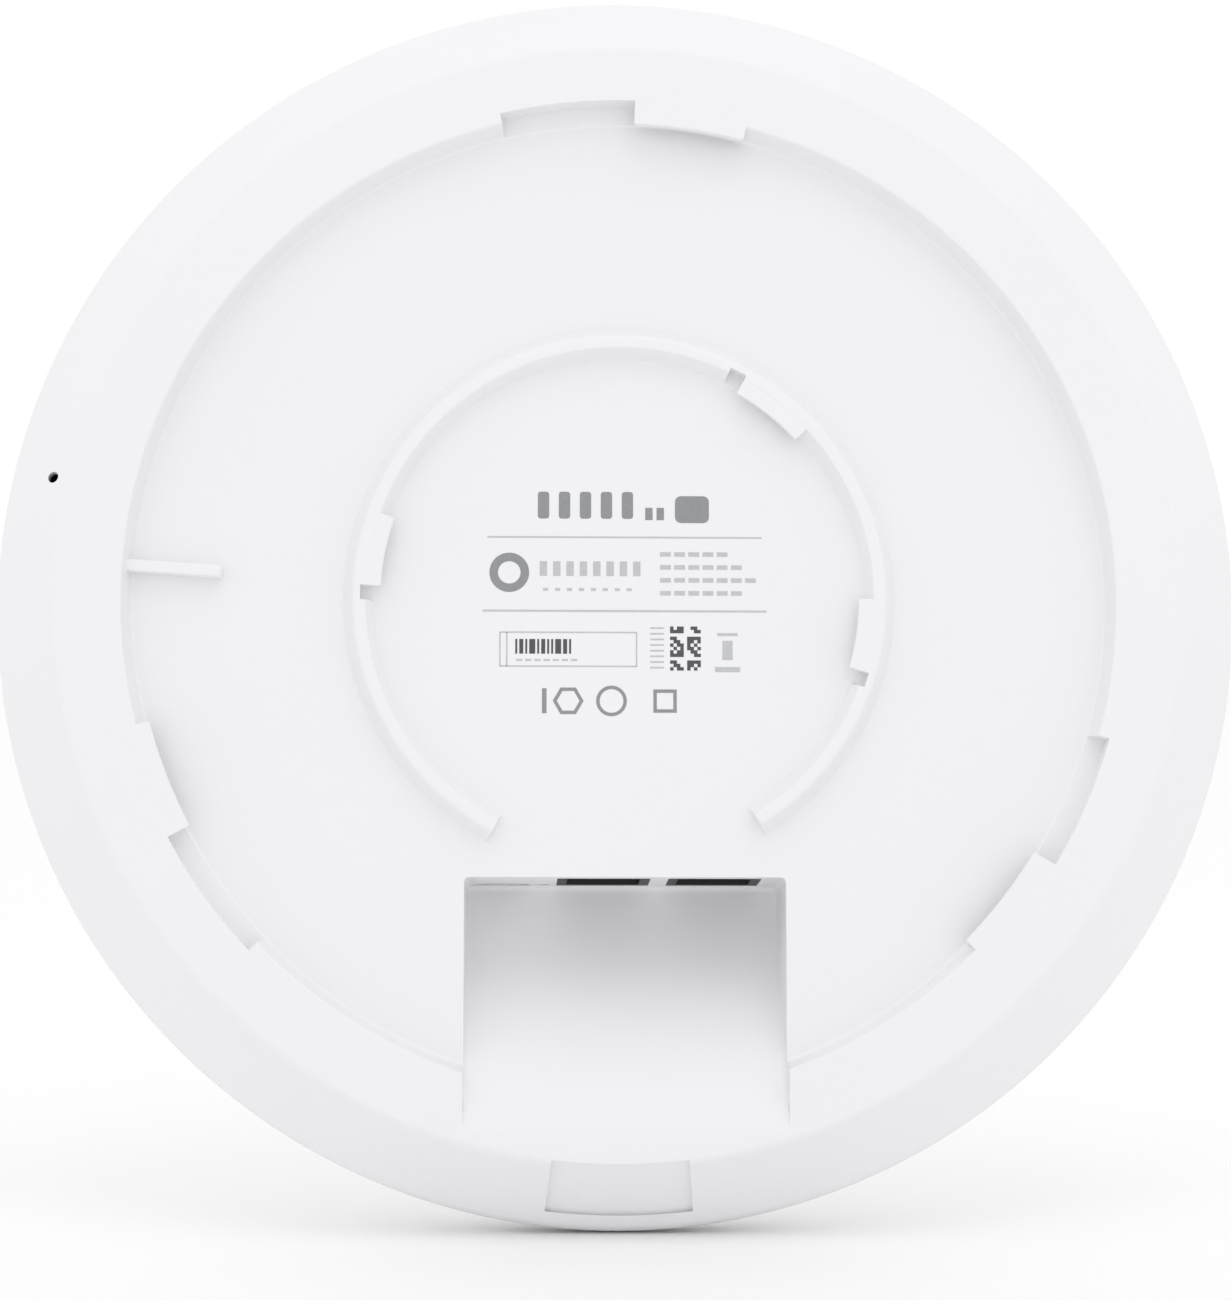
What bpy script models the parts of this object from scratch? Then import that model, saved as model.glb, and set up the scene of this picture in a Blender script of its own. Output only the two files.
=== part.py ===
"""Round ceiling access point, fastened by the bayonet recess in the back of its housing.

The disc's axis is Y. The mounting side faces -Y and the domed front faces +Y, so the part hangs
as it does on a wall: +Z is up and the cable bay is at the bottom. The origin is the centre of the
flat recess floor. Angles round the disc run clockwise from the top, seen from the mounting side.
"""

import math

import bmesh
import bpy
from mathutils import Matrix, Vector

MM = 0.001
TAU = 2 * math.pi
GAP = 0.3 * MM
OVERCUT = 3.0 * MM
EMBED = 0.5 * MM
SKIN = 2 * EMBED

# Outer form
DISC_RADIUS = 110.0 * MM
TOTAL_DEPTH = 48.1 * MM
SEAM_DEPTH = 9.0 * MM
HOUSING_WALL = 2.2 * MM
COVER_WALL = 2.5 * MM
ROUND_STEPS = 72
SMALL_STEPS = 48
BAND_FOOT_RADIUS = 98.6 * MM
BAND_TOP_DEPTH = 6.5 * MM
TONGUE_RADIUS = 105.6 * MM
TONGUE_WALL = 1.4 * MM
TONGUE_HEIGHT = 3.0 * MM

# Mounting recess and its bayonet lugs
RECESS_DEPTH = 5.0 * MM
RECESS_FLOOR_RADIUS = 85.7 * MM
RECESS_EDGE_RADIUS = 87.0 * MM
LUG_CHANNEL_RADIUS = 88.9 * MM
LUG_INNER_RADIUS = 84.6 * MM
LUG_THICKNESS = 1.8 * MM
CHANNEL_FLOOR = 0.2 * MM
NOTCH_START = math.radians(-13.9)
NOTCH_END = math.radians(1.7)
LUG_END = math.radians(14.9)
LUG_BACKING = math.radians(2.0)
LUG_SETS = 3

# Raised ring round the centre, with three catches on its inner side
RING_INNER_FOOT = 42.9 * MM
RING_INNER_CREST = 44.6 * MM
RING_OUTER_CREST = 46.7 * MM
RING_OUTER_FOOT = 48.8 * MM
RING_HEIGHT = 3.4 * MM
RING_START = math.radians(208.6)
RING_SWEEP = math.radians(299.6)
CATCH_RADIUS = 41.9 * MM
CATCH_STEP = 0.1 * MM
CATCH_THICKNESS = 1.2 * MM
CATCH_SPANS = [(29.4, 47.5), (90.0, 106.7), (272.8, 289.5)]
CATCH_POCKETS = [(25.5, 29.4), (106.7, 110.0), (269.5, 272.8)]
POCKET_RADIUS = 45.5 * MM

# Lock rib, release hole and the cable exit in the sloping band
RIB_ANGLE = math.radians(273.7)
RIB_INNER_RADIUS = 69.8 * MM
RIB_WIDTH = 2.2 * MM
RIB_HEIGHT = 3.0 * MM
RELEASE_ANGLE = math.radians(282.0)
RELEASE_RADIUS = 101.6 * MM
RELEASE_HOLE_RADIUS = 1.0 * MM
RELEASE_HOLE_REACH = 9.0 * MM
EXIT_HALF_ANGLE = math.radians(6.9)
EXIT_INNER_RADIUS = 98.2 * MM
EXIT_OUTER_RADIUS = 107.2 * MM
EXIT_DEPTH = 0.8 * MM

# Cable bay
BAY_CENTRE_X = 1.0 * MM
BAY_HALF_WIDTH = 28.2 * MM
BAY_TOP = 48.4 * MM
BAY_FLOOR = 18.0 * MM
BAY_SIDE_DRAFT = 0.02
BAY_TOP_DRAFT = 0.035
RAMP_START = 50.5 * MM
RAMP_END = 97.0 * MM
RAMP_OVERSHOOT = 0.6 * MM
RAMP_WALL_SHIFT = 1.0 * MM
RAMP_STEPS = 12
RAMP_FILL_TOP = 79.0 * MM
RAMP_FILL_END = 89.0 * MM

# Main board
BOARD_REAR = 17.0 * MM
BOARD_THICKNESS = 1.6 * MM
BOARD_FRONT = BOARD_REAR + BOARD_THICKNESS
BOARD_RADIUS = 88.0 * MM
BOARD_BAY_GAP = 1.0 * MM
PART_REAR = BOARD_REAR - GAP
PART_FRONT = BOARD_FRONT + GAP

# Network jacks and USB port, all with their mouths towards -Z
JACK_X = [-2.6 * MM, 16.9 * MM]
JACK_NAMES = ["lan_jack_main", "lan_jack_second"]
JACK_WIDTH = 15.6 * MM
JACK_HEIGHT = 13.4 * MM
JACK_LENGTH = 21.0 * MM
JACK_MOUTH = -47.6 * MM
SHIELD_WALL = 0.3 * MM
PORT_CLEARANCE = 0.4 * MM
PLUG_WIDTH = 11.9 * MM
PLUG_HEIGHT = 7.9 * MM
PLUG_DEPTH = 14.0 * MM
LATCH_WIDTH = 6.3 * MM
LATCH_HEIGHT = 2.6 * MM
INSERT_SETBACK = 0.5 * MM
USB_X = -20.4 * MM
USB_WIDTH = 9.0 * MM
USB_HEIGHT = 3.2 * MM
USB_LENGTH = 7.3 * MM
USB_WALL = 0.35 * MM
USB_TONGUE = (6.6 * MM, 0.7 * MM)
USB_BASE_LENGTH = 1.2 * MM

# Reset button, pressed with a pin through a hole in the bay's upper wall
BUTTON_X = -13.1 * MM
BUTTON_DEPTH = 15.0 * MM
PINHOLE_RADIUS = 1.1 * MM
BUTTON_FRONT = -45.7 * MM
BUTTON_CAP_LENGTH = 1.0 * MM
BUTTON_CAP_RADIUS = 1.6 * MM
BUTTON_STEM_RADIUS = 1.1 * MM
BUTTON_LENGTH = 7.1 * MM
BUTTON_TRAVEL = 0.5 * MM
SWITCH_WIDTH = 4.4 * MM
SWITCH_FRONT = -43.0 * MM
SWITCH_LENGTH = 7.0 * MM

# Fixings
BOSS_CIRCLE = 70.0 * MM
BOSS_ANGLES = [30.0, 90.0, 150.0, 210.0, 270.0, 330.0]
BOSS_RADIUS = 3.3 * MM
BOSSES_BESIDE_BAY = [150.0, 210.0]
SCREW_RADIUS = 1.25 * MM
SCREW_LENGTH = 13.5 * MM
SCREW_HEAD_RADIUS = 2.8 * MM
SCREW_HEAD_HEIGHT = 2.0 * MM
SCREW_HEAD_EDGE = 1.2 * MM
SCREW_HEAD_TOP_RADIUS = 2.0 * MM
SCREW_POINT = (0.75 * MM, 1.0 * MM)
SCREW_SLOT = (3.4 * MM, 0.7 * MM, 1.1 * MM)
SCREW_HOLE_RADIUS = SCREW_RADIUS + GAP
PILOT_DEPTH = 4.0 * MM

# Heat spreader
SPREADER_RADIUS = 78.0 * MM
SPREADER_LOWER_EDGE = -7.0 * MM
SPREADER_REAR = 9.5 * MM
SPREADER_THICKNESS = 3.0 * MM
SPREADER_PAD_TOP = 14.0 * MM
FIN_ROWS = [2.0, 12.0, 22.0, 32.0, 42.0, 52.0, 68.0]
FIN_THICKNESS = 1.6 * MM
FIN_HEIGHT = 5.6 * MM
FIN_HALF_LENGTH = 60.0 * MM
FIN_EDGE = 3.0 * MM
LAND_MARGIN = 1.0 * MM
PAD_REAR = SPREADER_PAD_TOP + GAP

# Light ring in the front: ring, centre cap and the pipe that feeds it
RING_LIGHT_INNER = 30.6 * MM
RING_LIGHT_OUTER = 32.7 * MM
RING_LIGHT_SINK = 0.4 * MM
RING_FLANGE = (27.0 * MM, 36.5 * MM)
RING_FLANGE_DEPTH = (37.2 * MM, 38.3 * MM)
LED_CIRCLE = 31.65 * MM
LED_SIZE = (3.2 * MM, 1.1 * MM, 1.6 * MM)
LED_ANGLES = [45.0, 135.0, 225.0, 315.0]

# Chips cooled by the spreader: name, (x, z) centre, (width, length) and thickness
HOT_CHIPS = [
    ("processor_chip", (0.0, 27.0 * MM), (19.0 * MM, 19.0 * MM), 1.6 * MM),
    ("radio_chip_2g", (-37.0 * MM, 22.0 * MM), (12.0 * MM, 12.0 * MM), 1.0 * MM),
    ("radio_chip_5g", (37.0 * MM, 22.0 * MM), (12.0 * MM, 12.0 * MM), 1.0 * MM),
]

# Other parts on the board's rear face: name, (x, z) centre, (width, length), height, material
REAR_PARTS = [
    ("memory_chip_1", (-13.0, 48.0), (9.0, 13.0), 1.0, "chip"),
    ("memory_chip_2", (13.0, 48.0), (9.0, 13.0), 1.0, "chip"),
    ("flash_chip", (30.0, 46.0), (8.0, 6.0), 1.5, "chip"),
    ("line_transformer_main", (-2.6, -18.0), (16.0, 8.0), 5.6, "moulding"),
    ("line_transformer_second", (16.9, -18.0), (16.0, 8.0), 5.6, "moulding"),
    ("power_transformer", (-42.0, -28.0), (13.0, 13.0), 11.0, "ferrite"),
    ("power_inductor", (44.0, -26.0), (10.0, 10.0), 5.0, "ferrite"),
]
CAPACITORS = [("power_capacitor_1", -56.0, -17.0), ("power_capacitor_2", -56.0, -39.0)]
CAPACITOR_RADIUS = 4.0 * MM
CAPACITOR_HEIGHT = 10.5 * MM
SHIELD_CANS = [("radio_shield_left", -52.0 * MM), ("radio_shield_right", 52.0 * MM)]
SHIELD_CAN_Z = 20.0 * MM
SHIELD_CAN_SIZE = (26.0 * MM, 3.2 * MM, 24.0 * MM)
SHIELD_CAN_WALL = 0.4 * MM

# Stamped antennas on the board's front: name, circle radius, length, width, height, angles
ANTENNAS = [
    ("antenna_2g", 75.0, 30.0, 9.0, 6.0, [50.0, 110.0, 250.0, 310.0]),
    ("antenna_5g", 56.0, 15.0, 7.0, 4.5, [15.0, 125.0, 235.0, 345.0]),
]
ANTENNA_SHEET = 0.6 * MM


def surface(name, colour, roughness, metallic=0.0):
    """A plain Principled finish."""
    finish = bpy.data.materials.new(name)
    finish.use_nodes = True
    shader = finish.node_tree.nodes["Principled BSDF"]
    shader.inputs["Base Color"].default_value = (*colour, 1.0)
    shader.inputs["Roughness"].default_value = roughness
    shader.inputs["Metallic"].default_value = metallic
    finish.diffuse_color = (*colour, 1.0)
    return finish


def finished_mesh(name, shape, finish=None, sharp_degrees=None):
    """Turns a bmesh into a mesh with its faces pointing out."""
    bmesh.ops.recalc_face_normals(shape, faces=shape.faces)
    mesh = bpy.data.meshes.new(name)
    shape.to_mesh(mesh)
    shape.free()
    if sharp_degrees:
        mesh.shade_smooth()
        mesh.set_sharp_from_angle(angle=math.radians(sharp_degrees))
    if finish:
        mesh.materials.append(finish)
    return mesh


def placed(name, mesh, place=(0.0, 0.0, 0.0), turn=0.0):
    """An object for a mesh, turned about the disc's axis and then placed."""
    item = bpy.data.objects.new(name, mesh)
    item.location = place
    item.rotation_euler = (0.0, turn, 0.0)
    bpy.context.scene.collection.objects.link(item)
    return item


def filleted(corners, steps=2):
    """Rounds the corners of a profile given as (across, along, fillet radius)."""
    points = []
    for index, (across, along, radius) in enumerate(corners):
        here = Vector((across, along))
        if radius == 0:
            points.append(tuple(here))
            continue
        before = (Vector(corners[index - 1][:2]) - here).normalized()
        after = (Vector(corners[(index + 1) % len(corners)][:2]) - here).normalized()
        half = before.angle(after) / 2
        centre = here + (before + after).normalized() * radius / math.sin(half)
        first = here + before * radius / math.tan(half) - centre
        turn = math.copysign(math.pi - 2 * half, before.cross(after))
        for step in range(steps + 1):
            angle = -turn * step / steps
            points.append(tuple(centre + Matrix.Rotation(angle, 2) @ first))
    return points


def turned_mesh(name, profile, finish=None, steps=ROUND_STEPS, start=0.0, sweep=TAU, sharp=35.0):
    """Spins a closed profile of (radius, depth) points about the disc's axis."""
    shape = bmesh.new()
    aim = Matrix.Rotation(start, 3, "Y")
    points = [shape.verts.new(aim @ Vector((0.0, depth, radius))) for radius, depth in profile]
    if sweep < TAU:
        ring = [shape.faces.new(points)]
    else:
        pairs = zip(points, points[1:] + points[:1])
        ring = [shape.edges.new(pair) for pair in pairs if max(abs(end.co.z) for end in pair) > 0]
    geometry = points + ring
    bmesh.ops.spin(
        shape, geom=geometry, axis=(0.0, 1.0, 0.0), cent=(0.0, 0.0, 0.0), angle=sweep,
        steps=steps, use_merge=sweep == TAU,
    )
    bmesh.ops.remove_doubles(shape, verts=shape.verts, dist=0.001 * MM)
    return finished_mesh(name, shape, finish, sharp)


def prism_mesh(name, outline, direction, finish=None):
    """Extrudes a flat outline of three-dimensional points."""
    shape = bmesh.new()
    face = shape.faces.new([shape.verts.new(point) for point in outline])
    grown = bmesh.ops.extrude_face_region(shape, geom=[face])["geom"]
    moved = [item for item in grown if isinstance(item, bmesh.types.BMVert)]
    bmesh.ops.translate(shape, verts=moved, vec=direction)
    return finished_mesh(name, shape, finish)


def box_mesh(name, low, high, finish=None):
    """A block between two corners."""
    low = Vector(low)
    high = Vector(high)
    shape = bmesh.new()
    scale = Matrix.Diagonal((*(high - low), 1.0))
    bmesh.ops.create_cube(shape, size=1.0, matrix=Matrix.Translation((low + high) / 2) @ scale)
    return finished_mesh(name, shape, finish)


def rod_mesh(name, radius, low, high, axis="Y", sides=16, finish=None):
    """A round rod along the disc's axis, or along Z."""
    shape = bmesh.new()
    middle = (low + high) / 2
    if axis == "Y":
        aim = Matrix.Translation((0.0, middle, 0.0)) @ Matrix.Rotation(-TAU / 4, 4, "X")
    else:
        aim = Matrix.Translation((0.0, 0.0, middle))
    bmesh.ops.create_cone(
        shape, cap_ends=True, segments=sides, radius1=radius, radius2=radius,
        depth=high - low, matrix=aim,
    )
    return finished_mesh(name, shape, finish, 35.0)


def combine(target, tool, operation):
    """Adds a live Boolean, and marks its tool as a helper."""
    step = target.modifiers.new(tool.name, "BOOLEAN")
    step.operation = operation
    step.object = tool
    tool.hide_render = True
    tool.display_type = "WIRE"


def cut(target, name, mesh, place=(0.0, 0.0, 0.0), turn=0.0):
    combine(target, placed("cut_" + name, mesh, place, turn), "DIFFERENCE")


def join(target, name, mesh, place=(0.0, 0.0, 0.0), turn=0.0):
    combine(target, placed("add_" + name, mesh, place, turn), "UNION")


def round_the_disc(radius, angle, depth=0.0):
    """A point at a radius and a clockwise angle from the top."""
    return (radius * math.sin(angle), depth, radius * math.cos(angle))


def sector_mesh(name, radii, depths, start, end):
    """A block bounded by two radii, two depths and two angles."""
    profile = [
        (radii[0], depths[0]), (radii[1], depths[0]), (radii[1], depths[1]), (radii[0], depths[1]),
    ]
    steps = max(2, round((end - start) / TAU * ROUND_STEPS))
    return turned_mesh(name, profile, None, steps, start, end - start)


def band_depth(radius, offset=0.0):
    """Depth of the sloping band at a radius, moved inwards by an offset square to its surface."""
    run = DISC_RADIUS - BAND_FOOT_RADIUS
    rise = BAND_TOP_DEPTH + RECESS_DEPTH
    square = offset * math.hypot(run, rise) / run
    return -RECESS_DEPTH + (radius - BAND_FOOT_RADIUS) * rise / run + square


def band_radius(depth, offset=0.0):
    """Radius at which the sloping band, moved inwards by an offset, reaches a depth."""
    run = DISC_RADIUS - BAND_FOOT_RADIUS
    rise = BAND_TOP_DEPTH + RECESS_DEPTH
    return BAND_FOOT_RADIUS + (depth - band_depth(BAND_FOOT_RADIUS, offset)) * run / rise


def housing_profile():
    """Half section of the rear housing, from the centre out over the back and home inside."""
    inner_rim = -RECESS_DEPTH + HOUSING_WALL
    tongue_inner = TONGUE_RADIUS - TONGUE_WALL
    return filleted([
        (0.0, 0.0, 0.0),
        (RECESS_FLOOR_RADIUS, 0.0, 0.8 * MM),
        (RECESS_EDGE_RADIUS, -RECESS_DEPTH, 0.5 * MM),
        (BAND_FOOT_RADIUS, -RECESS_DEPTH, 2.0 * MM),
        (DISC_RADIUS, BAND_TOP_DEPTH, 4.0 * MM),
        (DISC_RADIUS, SEAM_DEPTH, 0.0),
        (TONGUE_RADIUS, SEAM_DEPTH, 0.0),
        (TONGUE_RADIUS, SEAM_DEPTH + TONGUE_HEIGHT, 0.0),
        (tongue_inner, SEAM_DEPTH + TONGUE_HEIGHT, 0.0),
        (tongue_inner, band_depth(tongue_inner, HOUSING_WALL), 0.0),
        (band_radius(inner_rim, HOUSING_WALL), inner_rim, 0.0),
        (RECESS_EDGE_RADIUS + HOUSING_WALL, inner_rim, 0.0),
        (RECESS_FLOOR_RADIUS + HOUSING_WALL, HOUSING_WALL, 0.0),
        (0.0, HOUSING_WALL, 0.0),
    ])


def ramp_outline(step_back, thicker):
    """The bay floor from its deep end down to the rim, as (height, depth) points."""
    points = []
    for step in range(RAMP_STEPS + 1):
        part = step / RAMP_STEPS
        height = -(RAMP_START + (RAMP_END - RAMP_START) * part) - step_back
        swing = (1 + math.cos(math.pi * part)) / 2
        low = -RECESS_DEPTH - RAMP_OVERSHOOT
        points.append((height, low + (BAY_FLOOR - low) * swing + thicker))
    return points


def add_cable_bay(housing):
    """The walled bay behind the rim, cut from the back, with its ramp down to the rim."""
    left = BAY_CENTRE_X - BAY_HALF_WIDTH - HOUSING_WALL
    across = Vector((2 * (BAY_HALF_WIDTH + HOUSING_WALL), 0.0, 0.0))
    upper = -BAY_TOP + HOUSING_WALL
    rear = -RECESS_DEPTH - OVERCUT
    walls = [(upper, rear), (upper, BAY_FLOOR + HOUSING_WALL)]
    walls += ramp_outline(RAMP_WALL_SHIFT, HOUSING_WALL)
    walls.append((walls[-1][0], rear))
    tub = placed("add_bay_walls", prism_mesh("bay_walls", [(left, y, z) for z, y in walls], across))
    skin_edge = -RECESS_DEPTH + SKIN
    inside = [
        (0.0, SKIN),
        (RECESS_FLOOR_RADIUS + SKIN, SKIN),
        (RECESS_EDGE_RADIUS + SKIN, skin_edge),
        (band_radius(skin_edge, SKIN), skin_edge),
        (TONGUE_RADIUS - TONGUE_WALL, band_depth(TONGUE_RADIUS - TONGUE_WALL, SKIN)),
        (TONGUE_RADIUS - TONGUE_WALL, 2 * BAY_FLOOR),
        (0.0, 2 * BAY_FLOOR),
    ]
    combine(tub, placed("inside_of_housing", turned_mesh("inside_of_housing", inside)), "INTERSECT")
    combine(housing, tub, "UNION")
    # The foot of the ramp stands above the recess floor, so it is filled in before the cut.
    inset = BAY_HALF_WIDTH - EMBED
    low = (BAY_CENTRE_X - inset, skin_edge - SKIN - EMBED, -RAMP_FILL_END)
    high = (BAY_CENTRE_X + inset, EMBED, -RAMP_FILL_TOP)
    join(housing, "ramp_fill", box_mesh("ramp_fill", low, high))

    hollow = [(-BAY_TOP, rear), (-BAY_TOP - BAY_TOP_DRAFT * (BAY_FLOOR - rear), BAY_FLOOR)]
    hollow += ramp_outline(0.0, 0.0)
    hollow.append((-RAMP_END, rear))
    left = BAY_CENTRE_X - BAY_HALF_WIDTH
    across = Vector((2 * BAY_HALF_WIDTH, 0.0, 0.0))
    mesh = prism_mesh("bay_hollow", [(left, y, z) for z, y in hollow], across)
    for corner in mesh.vertices:
        side = math.copysign(1.0, corner.co.x - BAY_CENTRE_X)
        corner.co.x -= side * BAY_SIDE_DRAFT * (corner.co.y + RECESS_DEPTH)
    cut(housing, "bay_hollow", mesh)


def add_ports_in_bay_wall(housing):
    """Openings for the jacks and the USB port, and the pinhole for the reset button."""
    below = -BAY_TOP - OVERCUT
    above = -BAY_TOP + HOUSING_WALL + OVERCUT / 2
    for name, centre in zip(JACK_NAMES, JACK_X):
        low = (centre - JACK_WIDTH / 2, PART_REAR - JACK_HEIGHT, below)
        high = (centre + JACK_WIDTH / 2, PART_REAR, above)
        cut(housing, name + "_opening", grown_box_mesh(name + "_opening", low, high))
    low = (USB_X - USB_WIDTH / 2, PART_REAR - USB_HEIGHT, below)
    high = (USB_X + USB_WIDTH / 2, PART_REAR, above)
    cut(housing, "usb_opening", grown_box_mesh("usb_opening", low, high))
    pin = rod_mesh("pinhole", PINHOLE_RADIUS, below, above, "Z")
    cut(housing, "pinhole", pin, (BUTTON_X, BUTTON_DEPTH, 0.0))


def grown_box_mesh(name, low, high):
    """A block with the port clearance added round its width and height."""
    clearance = Vector((PORT_CLEARANCE, PORT_CLEARANCE, 0.0))
    return box_mesh(name, Vector(low) - clearance, Vector(high) + clearance)


def add_bayonet(housing):
    """Three notches in the recess wall, each followed by a lug over an open channel."""
    lug_depths = (-RECESS_DEPTH, -RECESS_DEPTH + LUG_THICKNESS)
    for number in range(LUG_SETS):
        turn = TAU * number / LUG_SETS
        name = "_%d" % (number + 1)
        backing = sector_mesh(
            "channel_backing" + name,
            (RECESS_EDGE_RADIUS + EMBED, LUG_CHANNEL_RADIUS + HOUSING_WALL),
            (-RECESS_DEPTH + EMBED, HOUSING_WALL - EMBED),
            NOTCH_START - LUG_BACKING, LUG_END + LUG_BACKING,
        )
        join(housing, "channel_backing" + name, backing, turn=turn)
        lug = sector_mesh(
            "bayonet_lug" + name, (LUG_INNER_RADIUS, RECESS_EDGE_RADIUS + EMBED),
            lug_depths, NOTCH_END, LUG_END,
        )
        join(housing, "bayonet_lug" + name, lug, turn=turn)
        channel = sector_mesh(
            "lug_channel" + name, (LUG_INNER_RADIUS - OVERCUT, LUG_CHANNEL_RADIUS),
            (lug_depths[1], -CHANNEL_FLOOR), NOTCH_START, LUG_END,
        )
        cut(housing, "lug_channel" + name, channel, turn=turn)
        notch = sector_mesh(
            "lug_notch" + name, (LUG_INNER_RADIUS - OVERCUT, LUG_CHANNEL_RADIUS),
            (-RECESS_DEPTH - OVERCUT, -CHANNEL_FLOOR), NOTCH_START, NOTCH_END,
        )
        cut(housing, "lug_notch" + name, notch, turn=turn)


def add_centre_ring(housing):
    """The raised open ring round the centre, its inner catches and the pockets beside them."""
    section = filleted([
        (RING_INNER_FOOT, EMBED, 0.0),
        (RING_INNER_CREST, -RING_HEIGHT, 0.5 * MM),
        (RING_OUTER_CREST, -RING_HEIGHT, 0.9 * MM),
        (RING_OUTER_FOOT, EMBED, 0.0),
    ])
    steps = round(ROUND_STEPS * RING_SWEEP / TAU)
    ring = turned_mesh("centre_ring", section, None, steps, RING_START, RING_SWEEP)
    join(housing, "centre_ring", ring)
    catch_depths = (-RING_HEIGHT + CATCH_STEP, -RING_HEIGHT + CATCH_THICKNESS)
    for number, (start, end) in enumerate(CATCH_SPANS):
        name = "catch_%d" % (number + 1)
        radii = (CATCH_RADIUS, RING_INNER_CREST + SKIN)
        catch = sector_mesh(name, radii, catch_depths, math.radians(start), math.radians(end))
        join(housing, name, catch)
    for number, (start, end) in enumerate(CATCH_POCKETS):
        name = "catch_pocket_%d" % (number + 1)
        radii = (CATCH_RADIUS, POCKET_RADIUS)
        depths = (-RING_HEIGHT - OVERCUT, -CHANNEL_FLOOR)
        pocket = sector_mesh(name, radii, depths, math.radians(start), math.radians(end))
        cut(housing, name, pocket)


def add_lock_rib(housing):
    """The rib across the recess floor that the mounting bracket's latch drops behind."""
    low = (-RIB_WIDTH / 2, -RIB_HEIGHT, RIB_INNER_RADIUS)
    high = (RIB_WIDTH / 2, EMBED, RECESS_EDGE_RADIUS + EMBED)
    join(housing, "lock_rib", box_mesh("lock_rib", low, high), turn=RIB_ANGLE)
    hole = rod_mesh("release_hole", RELEASE_HOLE_RADIUS, -RELEASE_HOLE_REACH, RELEASE_HOLE_REACH)
    cut(housing, "release_hole", hole, round_the_disc(RELEASE_RADIUS, RELEASE_ANGLE))


def add_cable_exit(housing):
    """A shallow relief in the sloping band below the bay, where a surface cable leaves."""
    section = [
        (EXIT_INNER_RADIUS, band_depth(EXIT_INNER_RADIUS, -OVERCUT)),
        (EXIT_OUTER_RADIUS, band_depth(EXIT_OUTER_RADIUS, -OVERCUT)),
        (EXIT_OUTER_RADIUS, band_depth(EXIT_OUTER_RADIUS, EXIT_DEPTH)),
        (EXIT_INNER_RADIUS, band_depth(EXIT_INNER_RADIUS, EXIT_DEPTH)),
    ]
    start = math.pi - EXIT_HALF_ANGLE
    exit_cut = turned_mesh("cable_exit", section, None, 4, start, 2 * EXIT_HALF_ANGLE)
    cut(housing, "cable_exit", exit_cut)


def boss_top(degrees):
    """A boss under the heat spreader ends at it; the two beside the bay reach the board."""
    return PART_REAR if degrees in BOSSES_BESIDE_BAY else SPREADER_REAR - GAP


def add_screw_bosses(housing):
    for degrees in BOSS_ANGLES:
        name = "boss_%d" % degrees
        spot = round_the_disc(BOSS_CIRCLE, math.radians(degrees))
        top = boss_top(degrees)
        boss = rod_mesh(name, BOSS_RADIUS, HOUSING_WALL - EMBED, top)
        join(housing, name, boss, spot)
        pilot = rod_mesh(name + "_pilot", SCREW_HOLE_RADIUS, PILOT_DEPTH, top + OVERCUT, sides=12)
        cut(housing, name + "_pilot", pilot, spot)


def build_rear_housing(white):
    housing = placed("rear_housing", turned_mesh("rear_housing", housing_profile(), white))
    add_cable_bay(housing)
    add_bayonet(housing)
    add_centre_ring(housing)
    add_lock_rib(housing)
    add_cable_exit(housing)
    add_ports_in_bay_wall(housing)
    add_screw_bosses(housing)


def dome_depth(radius, inset=0.0):
    """Depth of the elliptical front, or of its inner face, at a radius."""
    rim = SEAM_DEPTH + GAP
    height = TOTAL_DEPTH - RECESS_DEPTH - rim - inset
    return rim + height * math.sqrt(max(0.0, 1 - (radius / (DISC_RADIUS - inset)) ** 2))


def dome_points(outer, inner, inset, steps):
    """Points on the dome between two radii, closer together where it turns down to the rim."""
    full = DISC_RADIUS - inset
    first = math.acos(outer / full)
    last = math.acos(inner / full)
    angles = [first + (last - first) * step / steps for step in range(steps + 1)]
    return [(full * math.cos(angle), dome_depth(full * math.cos(angle), inset)) for angle in angles]


def build_front(white, translucent):
    """Domed cover, the light ring let into it, the cap inside the ring and the light pipe."""
    hole = RING_LIGHT_OUTER + GAP
    cover = dome_points(DISC_RADIUS, hole, 0.0, 8)
    cover += reversed(dome_points(DISC_RADIUS - COVER_WALL, hole, COVER_WALL, 5))
    placed("front_cover", turned_mesh("front_cover", cover, white))

    cap_radius = RING_LIGHT_INNER - GAP
    cap = dome_points(cap_radius, 0.0, 0.0, 3)
    cap += reversed(dome_points(cap_radius, 0.0, COVER_WALL, 2))
    cap = [(radius if radius > 0.01 * MM else 0.0, depth) for radius, depth in cap]
    placed("centre_cap", turned_mesh("centre_cap", cap, white, SMALL_STEPS))

    low, high = RING_FLANGE_DEPTH
    face = dome_depth(RING_LIGHT_OUTER) - RING_LIGHT_SINK
    ring = [
        (RING_LIGHT_INNER, face), (RING_LIGHT_INNER, high), (RING_FLANGE[0], high),
        (RING_FLANGE[0], low), (RING_FLANGE[1], low), (RING_FLANGE[1], high),
        (RING_LIGHT_OUTER, high), (RING_LIGHT_OUTER, face),
    ]
    placed("light_ring", turned_mesh("light_ring", ring, translucent, SMALL_STEPS))

    foot = PART_FRONT + LED_SIZE[1] + GAP
    pipe = [
        (RING_LIGHT_INNER, foot), (RING_LIGHT_OUTER, foot),
        (RING_LIGHT_OUTER, low - GAP), (RING_LIGHT_INNER, low - GAP),
    ]
    placed("light_pipe", turned_mesh("light_pipe", pipe, translucent, SMALL_STEPS))


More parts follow.
